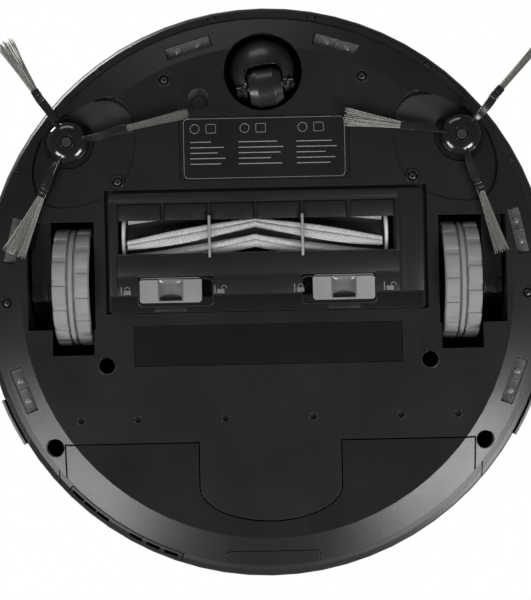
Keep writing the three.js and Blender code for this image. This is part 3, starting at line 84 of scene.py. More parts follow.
class Finish:
    """A material: its nodes, and the shader that they feed."""

    def __init__(self, name, **constants):
        self.material = bpy.data.materials.new(name)
        self.material.use_nodes = True
        self.nodes = self.material.node_tree.nodes
        self.links = self.material.node_tree.links
        self.shader = self.nodes["Principled BSDF"]
        for socket, value in constants.items():
            self.shader.inputs[socket.replace("_", " ")].default_value = value

    def add(self, kind, settings, inputs=None, output=0):
        """Adds a node, and hands back one of its outputs."""
        node = self.nodes.new(kind)
        for key, value in settings.items():
            setattr(node, key, value)
        for key, value in (inputs or {}).items():
            if isinstance(value, Wire):
                self.links.new(value.socket, node.inputs[key])
            else:
                node.inputs[key].default_value = value
        return Wire(self, node.outputs[output])

    def feed(self, **wires):
        """Leads wires to the shader's inputs."""
        for socket, wire in wires.items():
            self.links.new(wire.socket, self.shader.inputs[socket.replace("_", " ")])

    def place(self):
        """Position on the piece, in metres."""
        return self.add("ShaderNodeTexCoord", {}, output="Object")

    def noise(self, size, detail=3.0, rough=0.5, stretch=(1, 1, 1)):
        """Cloudy pattern whose lumps are about that big, in metres."""
        spread = self.add("ShaderNodeVectorMath", {"operation": "MULTIPLY"}, {0: self.place(), 1: stretch})
        wanted = {"Vector": spread, "Scale": 1 / size, "Detail": detail, "Roughness": rough}
        return self.add("ShaderNodeTexNoise", {}, wanted)

    def mix(self, mask, low, high):
        """Blends two colours by a mask."""
        settings = {"data_type": "RGBA"}
        low, high = ((*c, 1.0) if isinstance(c, tuple) else c for c in (low, high))
        return self.add("ShaderNodeMix", settings, {0: mask, 6: low, 7: high}, output=2)

    def edges(self, width):
        """Rounds the edges to the light, and gives a mask of them."""
        rounded = self.add("ShaderNodeBevel", {"samples": 4}, {"Radius": width})
        flat = self.add("ShaderNodeNewGeometry", {}, output="Normal")
        along = self.add(
            "ShaderNodeVectorMath", {"operation": "DOT_PRODUCT"}, {0: rounded, 1: flat}, output="Value"
        )
        return rounded, along.within(0.72, 0.98, 1.0, 0.0)

    def bump(self, height, depth, normal=None):
        """Raises the surface by a pattern, to a depth in metres."""
        wanted = {"Height": height, "Distance": depth, "Strength": 1.0}
        if normal:
            wanted["Normal"] = normal
        self.feed(Normal=self.add("ShaderNodeBump", {}, wanted))


def moulded(name, colour, worn, rough=0.46, grain=0.0009, depth=0.00003, edge=0.0005):
    """Moulded plastic with a fine grain, handling marks and rubbed edges."""
    finish = Finish(name, Specular_IOR_Level=0.5)
    clouds = finish.noise(0.05, 4)
    speck = finish.noise(grain, 2, 0.6)
    rounded, rim = finish.edges(edge)
    scratches = finish.noise(0.004, 5, 0.7, (1, 0.08, 1)).within(0.6, 0.75)
    base = finish.mix(clouds.within(0.35, 0.65), colour, tuple(c * 1.25 for c in colour))
    wear = rim * finish.noise(0.006, 3).within(0.35, 0.7) * 0.6
    finish.feed(
        Base_Color=finish.mix(wear + scratches * 0.08, base, worn),
        Roughness=rough + (clouds - 0.5) * 0.14 + speck * 0.08 - wear * 0.12,
    )
    finish.bump(speck + scratches * 0.4, depth, rounded)
    return finish.material


def soften(angle):
    """Node group that joins a CAD node's faces and smooths all edges gentler than an angle."""
    group = bpy.data.node_groups.new("soften", "GeometryNodeTree")
    group.interface.new_socket("Geometry", in_out="INPUT", socket_type="NodeSocketGeometry")
    group.interface.new_socket("Geometry", in_out="OUTPUT", socket_type="NodeSocketGeometry")
    start, end = group.nodes.new("NodeGroupInput"), group.nodes.new("NodeGroupOutput")
    weld = group.nodes.new("GeometryNodeMergeByDistance")
    weld.inputs["Distance"].default_value = 0.000005
    faces = group.nodes.new("GeometryNodeSetShadeSmooth")
    rims = group.nodes.new("GeometryNodeSetShadeSmooth")
    rims.domain = "EDGE"
    turn = group.nodes.new("GeometryNodeInputMeshEdgeAngle")
    gentle = group.nodes.new("FunctionNodeCompare")
    gentle.operation = "LESS_THAN"
    gentle.inputs[1].default_value = math.radians(angle)
    for a, b in (
        (start.outputs[0], weld.inputs["Geometry"]),
        (weld.outputs[0], faces.inputs["Geometry"]),
        (faces.outputs[0], rims.inputs["Geometry"]),
        (turn.outputs["Unsigned Angle"], gentle.inputs[0]),
        (gentle.outputs[0], rims.inputs["Shade Smooth"]),
        (rims.outputs[0], end.inputs[0]),
    ):
        group.links.new(a, b)
    return group


soft_rounds, crisp_rounds = soften(24), soften(12)


def dress(material, *names, softener=soft_rounds):
    """Gives CAD nodes their finish and smooth round faces."""
    for name in names:
        node = nodes[name]
        node.data.materials.clear()
        node.data.materials.append(material)
        node.modifiers.new("soften", "NODES").node_group = softener


shell_black = moulded("shell_black", (0.0115, 0.0115, 0.0118), (0.08, 0.08, 0.08), rough=0.3)
dress(shell_black, "lower_shell", softener=crisp_rounds)


def span(name):
    """Lowest and highest corners of a CAD node, in millimetres."""
    return tuple(Vector(corner) * 1000 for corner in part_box(name))


def at(x, y, z, turn=0.0, axis="Z"):
    """A place, and a turn there in degrees."""
    return Matrix.Translation((x, y, z)) @ Matrix.Rotation(math.radians(turn), 4, axis)


LIE_ALONG_X = Matrix.Rotation(math.radians(90), 4, "Y")


def spin(form, profile, steps, place=Matrix()):
    """Turns a profile of (radius, height) points about the Z axis of a place."""
    rings = []
    for i in range(steps):
        a = 2 * math.pi * i / steps
        spots = [Vector((r * math.cos(a), r * math.sin(a), z)) for r, z in profile]
        rings.append([form.verts.new(place @ spot) for spot in spots])
    for i, ring in enumerate(rings):
        beside = rings[(i + 1) % steps]
        for k in range(len(profile) - 1):
            form.faces.new((ring[k], beside[k], beside[k + 1], ring[k + 1]))


def loft(form, sections, ends=True):
    """Skins over outlines that all have the same number of points."""
    rings = [[form.verts.new(p) for p in outline] for outline in sections]
    for low, high in zip(rings, rings[1:]):
        for k in range(len(low)):
            n = (k + 1) % len(low)
            form.faces.new((low[k], low[n], high[n], high[k]))
    if ends:
        form.faces.new(rings[0])
        form.faces.new(rings[-1])


def brick(form, low, high, rounding=0.3, place=Matrix(), segments=2):
    """A block between two corners, with rounded edges."""
    low, high = Vector(low), Vector(high)
    size = Matrix.Diagonal((*(high - low), 1))
    made = bmesh.ops.create_cube(form, size=1, matrix=place @ Matrix.Translation((low + high) / 2) @ size)
    if rounding:
        edges = list({e for v in made["verts"] for e in v.link_edges})
        bmesh.ops.bevel(form, geom=edges, offset=rounding, segments=segments, profile=0.5, affect="EDGES")


def tube(form, path, r, sides=8, closed=False):
    """A round rod along points."""
    count = len(path)
    sections = []
    for i, p in enumerate(path):
        after = path[(i + 1) % count] if closed or i < count - 1 else p
        before = path[i - 1] if closed or i else p
        ahead = (after - before).normalized()
        side = ahead.cross(Vector((0, 0, 1)) if abs(ahead.z) < 0.9 else Vector((1, 0, 0))).normalized()
        up = side.cross(ahead)
        turns = [2 * math.pi * k / sides for k in range(sides)]
        sections.append([p + side * (r * math.cos(a)) + up * (r * math.sin(a)) for a in turns])
    if closed:
        sections.append(sections[0])
    loft(form, sections, ends=not closed)


def piece(name, body, material, form, replaced=(), sharp=40):
    """Makes a piece from its form in millimetres; it rides on a body and may stand for CAD nodes."""
    bmesh.ops.remove_doubles(form, verts=form.verts, dist=0.002)
    bmesh.ops.scale(form, vec=(0.001, 0.001, 0.001), verts=form.verts)
    bmesh.ops.recalc_face_normals(form, faces=form.faces)
    for face in form.faces:
        face.smooth = True
    for edge in form.edges:
        edge.smooth = len(edge.link_faces) == 2 and edge.calc_face_angle(3.2) < math.radians(sharp)
    shape = bpy.data.meshes.new(name)
    form.to_mesh(shape)
    form.free()
    shape.materials.append(material)
    made = bpy.data.objects.new(name, shape)
    bpy.context.scene.collection.objects.link(made)
    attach(made, body)
    if replaced:
        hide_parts(*replaced)
    return made


# The underside is held on by cross-headed screws, sunk in round wells. Fine raised rings stand
# round the wells, the row of small holes in front of the tank and the bigger holes at each side.
FLAT_RADIUS, BAND_SLOPE = 153.0, 7 / 18
UNDER = span("lower_shell")[0].z


def under(x, y):
    """Height of the underside at a spot."""
    return UNDER + max(0.0, math.hypot(x, y) - FLAT_RADIUS) * BAND_SLOPE


def metal(name, colour, rough=0.3):
    """Drawn or rolled metal with its lines along the part."""
    finish = Finish(name, Metallic=1.0)
    lines = finish.noise(0.0012, 4, 0.6, (1, 1, 0.06))
    rounded, rim = finish.edges(0.0003)
    finish.feed(
        Base_Color=finish.mix(lines.within(0.3, 0.7), colour, tuple(min(1, c * 1.2) for c in colour)),
        Roughness=rough + lines * 0.15 + rim * 0.1,
    )
    finish.bump(lines, 0.00001, rounded)
    return finish.material


dark_steel = metal("dark_steel", (0.09, 0.09, 0.092), 0.34)


def screw(form, x, y, r=2.5):
    """Pan head with a cross recess."""
    place = at(x, y, under(x, y) + SCREW_DEPTH, 180, "X")
    spin(form, [(0, 0), (r, 0), (r, 0.45), (r - 0.5, 0.95), (0.95, 1.1), (0.95, 0.5), (0, 0.35)], 20, place)
    for turn in (20, 110):
        brick(form, (-1.7, -0.28, 0.2), (1.7, 0.28, 0.62), 0.05, place @ at(0, 0, 0, turn), 1)


SCREW_DEPTH = 1.7
SCREW_SPOTS = ((61.5, -133.3), (91.7, -70.5), (162.3, 3.3))
SMALL_HOLES_X, SMALL_HOLES_Y = (27.3, 81.7, 117), 77.4
BIG_HOLE, SLOPE_HOLE = (100.4, 43.5), (133.8, 94.2)
WELL_RING = [(3.2, 0.3), (3.25, -0.1), (3.7, -0.18), (4.1, -0.1), (4.25, 0.25), (3.2, 0.3)]
SMALL_RING = [(2.2, 0.3), (2.25, -0.05), (2.55, -0.1), (2.8, 0.0), (2.9, 0.2), (2.2, 0.3)]
BIG_RING = [(5.0, 0.3), (5.05, -0.1), (5.5, -0.18), (5.9, 0.0), (6.0, 0.25), (5.0, 0.3)]
SLOPE_RING = [(5.4, 0.4), (5.5, -0.1), (5.8, -0.15), (6.1, 0.3), (5.4, 0.4)]
for side_name, side in SIDES:
    form = bmesh.new()
    for x, y in SCREW_SPOTS:
        screw(form, side * x, y)
    piece(f"shell_screws_{side_name}", "chassis", dark_steel, form)

    form = bmesh.new()
    for x, y in SCREW_SPOTS:
        spin(form, WELL_RING, 28, at(side * x, y, under(x, y)))
    for x in SMALL_HOLES_X:
        spin(form, SMALL_RING, 20, at(side * x, SMALL_HOLES_Y, UNDER))
    spin(form, BIG_RING, 32, at(side * BIG_HOLE[0], BIG_HOLE[1], UNDER))
    spin(form, SLOPE_RING, 32, at(side * SLOPE_HOLE[0], SLOPE_HOLE[1], under(*SLOPE_HOLE)))
    piece(f"moulded_rings_{side_name}", "chassis", shell_black, form)


# ---- Upper shell, bumper and side wall ---------------------------------------------------------
# Deck and side wall in the same ABS, with a polished window in the bumper and two sprung steel
# charging strips behind the wheels.
rim_black = moulded("rim_black", (0.014, 0.014, 0.0145), (0.07, 0.07, 0.07), rough=0.36)
dress(rim_black, "upper_shell", "bumper", "exhaust_grille", softener=crisp_rounds)


def polished(name, colour, rough=0.14, coat=0.5):
    """Polished plastic with fingerprints, fine hairlines and a painted highlight along its edges."""
    finish = Finish(name, Coat_Roughness=0.08, Coat_Weight=coat)
    smears = finish.noise(0.02, 5, 0.65)
    hairs = finish.noise(0.002, 3, 0.6, (1, 0.05, 1)).within(0.62, 0.72)
    rounded, rim = finish.edges(0.0004)
    # Fingerprints lighten the colour, and every edge is painted lighter as a highlight.
    finish.feed(
        Base_Color=finish.mix(
            smears.within(0.4, 0.7) * 0.5 + rim * 0.3, colour, tuple(c * 1.8 for c in colour)
        ),
        Roughness=rough + smears.within(0.45, 0.75) * 0.12 + hairs * 0.1,
    )
    finish.bump(smears * 0.3 + hairs * 0.2, 0.00001, rounded)
    return finish.material


gloss_black = polished("gloss_black", (0.008, 0.008, 0.0085))
smoked = polished("smoked", (0.02, 0.02, 0.022), 0.08)
dress(smoked, "bumper_window")
steel = metal("steel", (0.55, 0.55, 0.56))
dress(steel, "charging_contact_right", "charging_contact_left", "caster_axle")

# A soft seal strip runs round the bumper above its window.
rubber_black = moulded(
    "rubber_black", (0.011, 0.011, 0.011), (0.03, 0.03, 0.03), rough=0.7, grain=0.0004
)
BODY_RADIUS = span("bumper")[1].x
STRIP_OUTLINE = [(-0.7, 61.0), (0.0, 61.2), (0.0, 62.6), (-0.7, 62.8)]
STRIP_START, STRIP_STEPS = -178, 89
form = bmesh.new()
sections = []
for i in range(STRIP_STEPS):
    a = math.radians(STRIP_START + i * 2)
    ring = [(BODY_RADIUS + depth, z) for depth, z in STRIP_OUTLINE]
    sections.append([Vector((r * math.cos(a), r * math.sin(a), z)) for r, z in ring])
loft(form, sections)
piece("bumper_strip", "bumper", rubber_black, form)

# Small hooks stand in the notches of the ledge that the bumper's lip runs in.
HOOK_TURNS = (10.3, 36.4, 62.6)
HOOK_CORNERS = ((172.9, -2.2, 17.4), (175.6, 2.2, 19.6))
form = bmesh.new()
for turn in HOOK_TURNS:
    for side in (-1, 1):
        brick(form, *HOOK_CORNERS, 0.4, at(0, 0, 0, side * turn - 90))
piece("ledge_hooks", "chassis", shell_black, form)


# ---- Drive wheels ------------------------------------------------------------------------------
# Soft grey rubber tyres with two staggered rows of blocks beside a middle rib, moulded on black
# nylon rims. A glossy drum next to each tyre holds its gears, and both swing on an arm in a
# black housing.
def rubber(name, colour, dusty, rough=0.78):
    """Moulded rubber: matt, a little dusty in its hollows and scuffed where it runs."""
    finish = Finish(name, Specular_IOR_Level=0.35)
    dust = finish.noise(0.012, 5, 0.6)
    skin = finish.noise(0.0006, 3, 0.6)
    rounded, rim = finish.edges(0.0006)
    finish.feed(
        Base_Color=finish.mix(dust.within(0.35, 0.7) * 0.5 + rim * 0.4, colour, dusty),
        Roughness=rough + skin * 0.12 - rim * 0.08,
    )
    finish.bump(skin + dust * 0.6, 0.00004, rounded)
    return finish.material


dark_plastic = moulded("dark_plastic", (0.009, 0.009, 0.0092), (0.05, 0.05, 0.05), rough=0.42)
tyre_grey = rubber("tyre_grey", (0.15, 0.15, 0.15), (0.2, 0.2, 0.2))
BLOCKS, BLOCK_ARC, BLOCK_ROOT = 15, 17.4, 2
TREAD_SKIN = 0.12
# Tread outline as depths under the running surface, from the side face and from the middle.
SHOULDER = ((5.6, 0.8), (4.2, 0), (2.6, 0.1), (1.4, 0.9), (1.1, 2))
MIDDLE_RIB = ((1.1, 2.7), (2.6, 2.3), (2.6, 1.7), (0.5, 1.2), (0.3, 0.9))
DRUM_LENGTH, DRUM_R = 12.5, 17.3
for side_name, side in SIDES:
    node = f"wheel_tyre_{side_name}"
    low, high = span(node)
    middle = (low + high) / 2
    axle_z = (low.z + high.z) / 2
    rolling = (high.y - low.y) / 2 - TREAD_SKIN
    half = (high.x - low.x) / 2
    wheel_place = at(middle.x, middle.y, axle_z) @ LIE_ALONG_X
    form = bmesh.new()
    profile = [(rolling - depth, -half + x) for depth, x in SHOULDER]
    profile += [(rolling - depth, -x) for depth, x in MIDDLE_RIB]
    profile += [(r, -x) for r, x in reversed(profile)]
    spin(form, profile + profile[:1], 90, wheel_place)
    for row, (near, far) in enumerate(((-half + 0.3, -2.6), (2.6, half - 0.3))):
        for block in range(BLOCKS):
            start = block * 360 / BLOCKS + row * 180 / BLOCKS
            sections = []
            for step in range(7):
                turn = math.radians(start + BLOCK_ARC * step / 6)
                top = rolling - (0.45 if step in (0, 6) else 0.0)
                root = rolling - BLOCK_ROOT
                edge = [(root, near), (top - 0.7, near), (top, near + 0.7)]
                edge += [(top, far - 0.5), (top - 0.5, far), (root, far)]
                spots = [Vector((r * math.cos(turn), r * math.sin(turn), x)) for r, x in edge]
                sections.append([wheel_place @ spot for spot in spots])
            loft(form, sections)
    piece(f"tread_tyre_{side_name}", f"wheel_{side_name}", tyre_grey, form, [node], sharp=35)

    # Bands and ribs on the gear drum, which catch the light.
    low, high = span(f"wheel_arm_{side_name}")
    outer, inner = (high.x, high.x - DRUM_LENGTH) if side > 0 else (low.x, low.x + DRUM_LENGTH)
    drum_place = at((outer + inner) / 2, middle.y, axle_z) @ LIE_ALONG_X
    form = bmesh.new()
    for x in (-4.9, -1.2, 3.4):
        band = [(DRUM_R, x - 0.7), (DRUM_R + 0.6, x - 0.4), (DRUM_R + 0.6, x + 0.4), (DRUM_R, x + 0.7)]
        spin(form, band + band[:1], 60, drum_place)
    for turn in range(0, 360, 30):
        brick(form, (16.9, -0.6, -5.8), (17.75, 0.6, 5.8), 0.25, drum_place @ at(0, 0, 0, turn))
    piece(f"gear_drum_bands_{side_name}", f"wheel_arm_{side_name}", gloss_black, form)

    # Spokes in the hollow of the rim.
    form = bmesh.new()
    face = side * (half - 2.4)
    for turn in range(0, 360, 60):
        brick(form, (6, -1.4, face - 1.2), (26, 1.4, face + 0.6), 0.4, wheel_place @ at(0, 0, 0, turn))
    piece(f"rim_spokes_{side_name}", f"wheel_{side_name}", dark_plastic, form)
dress(dark_plastic, *[n for n in nodes if n.startswith(("wheel_housing", "wheel_rim", "side_brush_motor"))])
dress(gloss_black, "wheel_arm_right", "wheel_arm_left")


# ---- Caster ------------------------------------------------------------------------------------
# A glossy domed cup that turns in a round well, with an arched opening for a barrel roller on a
# steel pin.
cup_black = polished("cup_black", (0.014, 0.014, 0.0145), 0.32, 0.15)
dress(cup_black, "caster_swivel")
roller_black = polished("roller_black", (0.014, 0.014, 0.0145), 0.3, 0.1)
dress(roller_black, "caster_roller")
hinge = {j["name"]: j for j in frame["record"]["behaviour"]["joints"]}
swivel_at = Vector(hinge["caster_swivel_turn"]["pos_m"]) * 1000
roller_at = Vector(hinge["caster_roll"]["pos_m"]) * 1000
roller_along = Vector(hinge["caster_roll"]["axis"])
caster_turn = math.degrees(math.atan2(roller_along.y, roller_along.x))
caster_place = at(swivel_at.x, swivel_at.y, 0, caster_turn)
CUP_R, CUP_MIDDLE, CUP_LOW = 23.0, 26.0, 5.5


def dome(x, y, lift=0.0):
    """Point on the outside of the caster's cup."""
    inside = max(0.0, 1 - (x * x + y * y) / CUP_R**2)
    return Vector((x, y, CUP_MIDDLE - (CUP_MIDDLE - CUP_LOW) * math.sqrt(inside) - lift))


SLOT_HALF, ARCH_FRONT, ARCH_ROUND = 11.45, -3.5, 5.0
arch = [(-SLOT_HALF - 0.3, 19.0 - i * 1.5) for i in range(13)]
for i in range(9):
    a = math.radians(180 + i * 11.25)
    x = -SLOT_HALF + ARCH_ROUND + ARCH_ROUND * math.cos(a)
    arch.append((x, ARCH_FRONT + ARCH_ROUND + ARCH_ROUND * math.sin(a)))
arch += [(x * 1.3, ARCH_FRONT - 0.25 + 0.02 * abs(x)) for x in range(-4, 1)]
arch += [(-x, y) for x, y in reversed(arch[:-1])]
form = bmesh.new()
tube(form, [caster_place @ dome(x, y, 0.1) for x, y in arch], 0.62, 8)
PIN_SOCKET = [(3.4, -1.6), (3.5, 1.4), (2.6, 1.9), (1.7, 1.9), (1.7, -1.6), (3.4, -1.6)]
roller_place = at(*roller_at) @ at(0, 0, 0, caster_turn)
for side in (-1, 1):
    spin(form, PIN_SOCKET, 24, roller_place @ at(side * 16.2, 0, -0.4) @ LIE_ALONG_X)
piece("caster_arch_lip", "caster_swivel", gloss_black, form)


# ---- Side brushes ------------------------------------------------------------------------------
# A domed hub of polished black plastic carries three straps of black rubber. A ferrule at the end
# of each strap crimps a fan of nylon bristles.
def bristle(name, root, tip):
    """Nylon filaments, each a little different."""
    finish = Finish(name, Specular_IOR_Level=0.4)
    strand = finish.noise(0.0009, 2, 0.6)
    patches = finish.noise(0.01, 2)
    finish.feed(
        Base_Color=finish.mix(strand.within(0.3, 0.7) * 0.7 + patches * 0.3, root, tip),
        Roughness=0.45 + strand * 0.2,
    )
    finish.bump(strand, 0.00002)
    return finish.material


strap_black = polished("strap_black", (0.014, 0.014, 0.014), 0.2, 0.35)
filament = bristle("filament", (0.17, 0.165, 0.155), (0.42, 0.41, 0.38))
STRAP_START, STRAP_END = 9.5, 37.0
hub_grey = moulded("hub_grey", (0.03, 0.03, 0.03), (0.07, 0.07, 0.07), rough=0.35)
# Near-black matt rubber that only paints shade: the dark ring round each brush hub and the strip behind the
# guard.
painted_shade_black = rubber("painted_shade_black", (0.003, 0.003, 0.003), (0.006, 0.006, 0.006), 0.85)
DISH_FLOOR, DISH_LIP = 0.74, 0.25
DISH_EDGE = ((108, -121), (92, -119.5), (82.5, -111), (80.8, -101))
DISH_CREST = ((138, -112), (122, -112.5), (110, -106), (103, -97.5))
# Lighter grey for the dish ramps, painted light where the dish fronts face the lamps.
ramp_painted_light = moulded("ramp_painted_light", (0.03, 0.03, 0.0305), (0.08, 0.08, 0.08), rough=0.42)


def along_curve(points, t):
    """Point on a smooth curve through four points."""
    whole = min(int(t * 3), 2)
    part = t * 3 - whole
    a, b, c, d = [Vector(points[max(0, min(3, whole + k))]) for k in (-1, 0, 1, 2)]
    bend = (a * 2 - b * 5 + c * 4 - d) * (part**2 / 2)
    twist = (b * 3 - a - c * 3 + d) * (part**3 / 2)
    return b + (c - a) * (part / 2) + bend + twist


# The front of each brush's dish slopes up to the shell in a ramp, with a bead along its low edge. The
# ramp's lighter grey is painted light, where the dish front catches the lamps.
for side_name, side in SIDES:
    form = bmesh.new()
    rows = []
    for i in range(13):
        edge, crest = along_curve(DISH_EDGE, i / 12), along_curve(DISH_CREST, i / 12)
        rows.append([])
        for k in range(9):
            spot = edge.lerp(crest, k / 8)
            fall = DISH_LIP + (DISH_FLOOR - DISH_LIP) * min(1, k / 7)
            z = fall + under(spot.x, spot.y) + (0.5 if k == 8 else 0)
            rows[-1].append(form.verts.new((side * spot.x, spot.y, z)))
    for a, b in zip(rows, rows[1:]):
        for k in range(8):
            form.faces.new((a[k], a[k + 1], b[k + 1], b[k]))
    tube(form, [row[0].co.copy() for row in rows], 0.2, 6)
    piece(f"dish_ramp_{side_name}", "chassis", ramp_painted_light, form)

# Each brush's arms: their angles, how far their tips reach and how wide their bristles fan.
ARMS = {"right": (12, 121, 243.5), "left": (48, 170, 288)}
TIPS = {"right": (76, 72, 76), "left": (78, 72, 76)}
FANS = {"right": (2.6, 5.2, 6.4), "left": (2.2, 5.2, 4.4)}
FILAMENTS = 96
HUB_PROFILE = [
    (0, 5.4), (2.9, 5.3), (3.5, 5.0), (3.7, 4.2), (4.1, 3.7), (4.8, 3.5), (6.4, 3.75), (8.2, 4.3),
    (9.8, 5.1), (11.2, 6.2), (12.2, 7.4), (12.8, 8.8), (13, 10.2), (12.6, 11.2), (3.4, 11.3),
    (3.4, 8.1), (0, 8.1),
]
COLLAR = ((4.6, 3.6), (4.1, 3.45), (3.7, 4.6), (4.4, 4.8))
STRAP_RING = [(-1, -0.5), (-0.9, -1), (0.9, -1), (1, -0.5), (1, 0.5), (0.9, 1), (-0.9, 1), (-1, 0.5)]
draw = random.Random(7)
for side_name, side in SIDES:
    hub = Vector(hinge[f"side_brush_spin_{side_name}"]["pos_m"]) * 1000
    hub.z = 0
    body = f"side_brush_{side_name}"
    hub_place = Matrix.Translation(hub)
    form = bmesh.new()
    spin(form, HUB_PROFILE, 56, hub_place)
    for turn in range(0, 180, 45):
        brick(form, (-2.5, -0.35, 4.9), (2.5, 0.35, 5.6), 0.1, hub_place @ at(0, 0, 0, turn), 1)
    for turn in range(8):
        wall = []
        for k in (-0.5, 0.5):
            a = math.radians(turn * 45 + k * 45)
            wall.append([hub + Vector((r * math.cos(a), r * math.sin(a), z)) for r, z in COLLAR])
        loft(form, wall)
    piece(f"brush_hub_{side_name}", body, gloss_black, form, [f"side_brush_{side_name}"])
    form = bmesh.new()
    spin(form, [(3.3, 3.75), (2.9, 3.6), (1.5, 3.8), (0, 3.9)], 8, hub_place @ at(0, 0, 0, 22.5))
    piece(f"hub_cap_{side_name}", body, hub_grey, form)
    # A near-black ring in the recess round each hub is painted shade, darkening the gap between hub and
    # shell.
    form = bmesh.new()
    lift = under(hub.x, hub.y)
    shade_ring_outline = [(12.6, 1.5), (12.7, 1.1), (16.0, 1.1), (16.2, 1.6), (12.6, 1.6)]
    spin(form, [(r, lift + z) for r, z in shade_ring_outline], 48, hub_place)
    piece(f"hub_shade_ring_{side_name}", "chassis", painted_shade_black, form)
    straps, tufts = bmesh.new(), bmesh.new()
    for angle, reach, fan in zip(ARMS[side_name], TIPS[side_name], FANS[side_name]):
        place = hub_place @ at(0, 0, 0, -angle)
        sections = []
        for step in range(13):
            t = step / 12
            x = STRAP_START + (STRAP_END - 6 - STRAP_START) * t
            roll = math.radians(78 * (1 - t) ** 1.4)
            wide, thick = 2.4 + 0.4 * t, 0.75
            mid = Vector((x, 0.9 * math.sin(math.pi * t), 6.9 - 0.6 * t))
            across = Vector((0, math.cos(roll), math.sin(roll)))
            up = Vector((0, -math.sin(roll), math.cos(roll)))
            ring = [mid + across * (wide * u) + up * (thick * v) for u, v in STRAP_RING]
            sections.append([place @ spot for spot in ring])
        loft(straps, sections)
        brick(straps, (STRAP_END - 7.5, -2.6, 4.9), (STRAP_END + 1.2, 2.6, 7.6), 0.7, place, 3)
        for x in (STRAP_END - 5.2, STRAP_END - 2.4):
            brick(straps, (x - 0.4, -2.75, 4.75), (x + 0.4, 2.75, 7.75), 0.25, place, 2)
        for _ in range(FILAMENTS):
            spread = draw.uniform(-1, 1)
            depth = draw.uniform(-1, 1)
            length = reach + draw.uniform(-3.5, 1.5)
            stray = draw.gauss(0, 0.7)
            path = []
            for step in range(6):
                t = step / 5
                x = STRAP_END - 1 + (length - STRAP_END + 1) * t
                y = spread * (1.9 + (fan - 1.9) * t) + stray * t * t * fan / 6
                z = 6.2 + depth * (1.0 - 0.2 * t) - 2.6 * t * t + abs(spread) * 0.4 * t
                path.append(place @ Vector((x, y, max(z, 1.3))))
            tube(tufts, path, 0.15, 3)
    piece(f"brush_straps_{side_name}", body, strap_black, straps)
    piece(f"brush_bristles_{side_name}", body, filament, tufts)


# ---- Main brush and its bay --------------------------------------------------------------------
# A roller of black plastic with three chevrons of pale nylon bristles and light end caps. It turns
# in a moulded bay whose gearbox is at the left.
low, high = span("main_brush")
brush_at = Vector(hinge["main_brush_spin"]["pos_m"]) * 1000
BRUSH_R, CORE_R = 19.4, 13.2
near, far = low.x + 1.2, high.x + 0.3
brush_mid = (near + far) / 2
half_length = (far - near) / 2
core_place = at(brush_mid, brush_at.y, brush_at.z) @ LIE_ALONG_X
form = bmesh.new()
core = [(0, -half_length), (11, -half_length), (12.5, -half_length + 3)]
core += [(CORE_R, -half_length + 4), (CORE_R, half_length - 4)]
core += [(12.5, half_length - 3), (11, half_length), (0, half_length)]
spin(form, core, 48, core_place)
piece("brush_core", "main_brush", dark_plastic, form, ["main_brush"])
pale_cap = moulded("pale_cap", (0.34, 0.34, 0.34), (0.5, 0.5, 0.5), rough=0.35)
CAP_WIDTH = 2.4
CAP_PROFILE = [(11.5, 0), (15.6, 0), (16.6, 0.5), (16.6, 1.9), (15.6, 2.4), (11.5, 2.4), (11.5, 0)]
form = bmesh.new()
for start in (-half_length, half_length - CAP_WIDTH):
    spin(form, [(r, start + x) for r, x in CAP_PROFILE], 48, core_place)
piece("brush_end_caps", "main_brush", pale_cap, form)

# Each chevron has a front and a rear band of bristles, and each band is two rows side by side.
pale_bristle = bristle("pale_bristle", (0.15, 0.15, 0.15), (0.4, 0.4, 0.39))
CHEVRONS, GROOVE = 3, 1.1
BANDS = (
    (lambda d: -31 + 0.3 * d + 0.0027 * d * d, lambda d: -20 + 1.05 * d - 0.0056 * d * d),
    (lambda d: 0.7 * d, lambda d: 26 + 0.75 * d),
)
brush_centre = Vector((brush_mid, brush_at.y, brush_at.z))


def on_brush(x, turn, r):
    """Point round the brush; turn 0 faces the floor."""
    a = math.radians(turn - 90)
    return brush_centre + Vector((x, math.cos(a) * r, math.sin(a) * r))


form, fringe = bmesh.new(), bmesh.new()
for chevron in range(CHEVRONS):
    for front, rear in BANDS:
        for row in range(2):
            sections = []
            for i in range(61):
                x = (half_length - 4) * (i / 30 - 1)
                out = abs(x)
                start = chevron * 360 / CHEVRONS
                first, last = start + front(out), start + rear(out)
                middle = first + (last - first) * 0.42
                if row == 0:
                    low_turn, high_turn = first, middle - GROOVE / 2
                else:
                    low_turn, high_turn = middle + GROOVE / 2, last
                top = BRUSH_R - 0.1 if row == 0 else BRUSH_R - 0.7
                ring = [on_brush(x, low_turn, CORE_R - 0.5)]
                for k in range(7):
                    t = k / 6
                    turn = low_turn + (high_turn - low_turn) * t
                    ring.append(on_brush(x, turn, top - 0.55 * abs(2 * t - 1) ** 3))
                ring.append(on_brush(x, high_turn, CORE_R - 0.5))
                sections.append(ring)
                for _ in range(5):
                    jump = draw.uniform(-1, 1)
                    turn = low_turn + (high_turn - low_turn) * draw.random()
                    foot = on_brush(x + jump, turn, top - 1.5)
                    lean, sweep = draw.uniform(-0.5, 0.5), draw.uniform(-1.5, 1.5)
                    tip = on_brush(x + jump + lean, turn + sweep, top + 0.1)
                    tube(fringe, [foot, tip], 0.16, 3)
            loft(form, sections)
piece("brush_bristle_rows", "main_brush", pale_bristle, form, sharp=60)
piece("brush_bristle_tips", "main_brush", pale_bristle, fringe)
dress(dark_plastic, "brush_bay", "brush_motor", "bin_bay", "fan_housing", "lidar_base", "tank_lid")


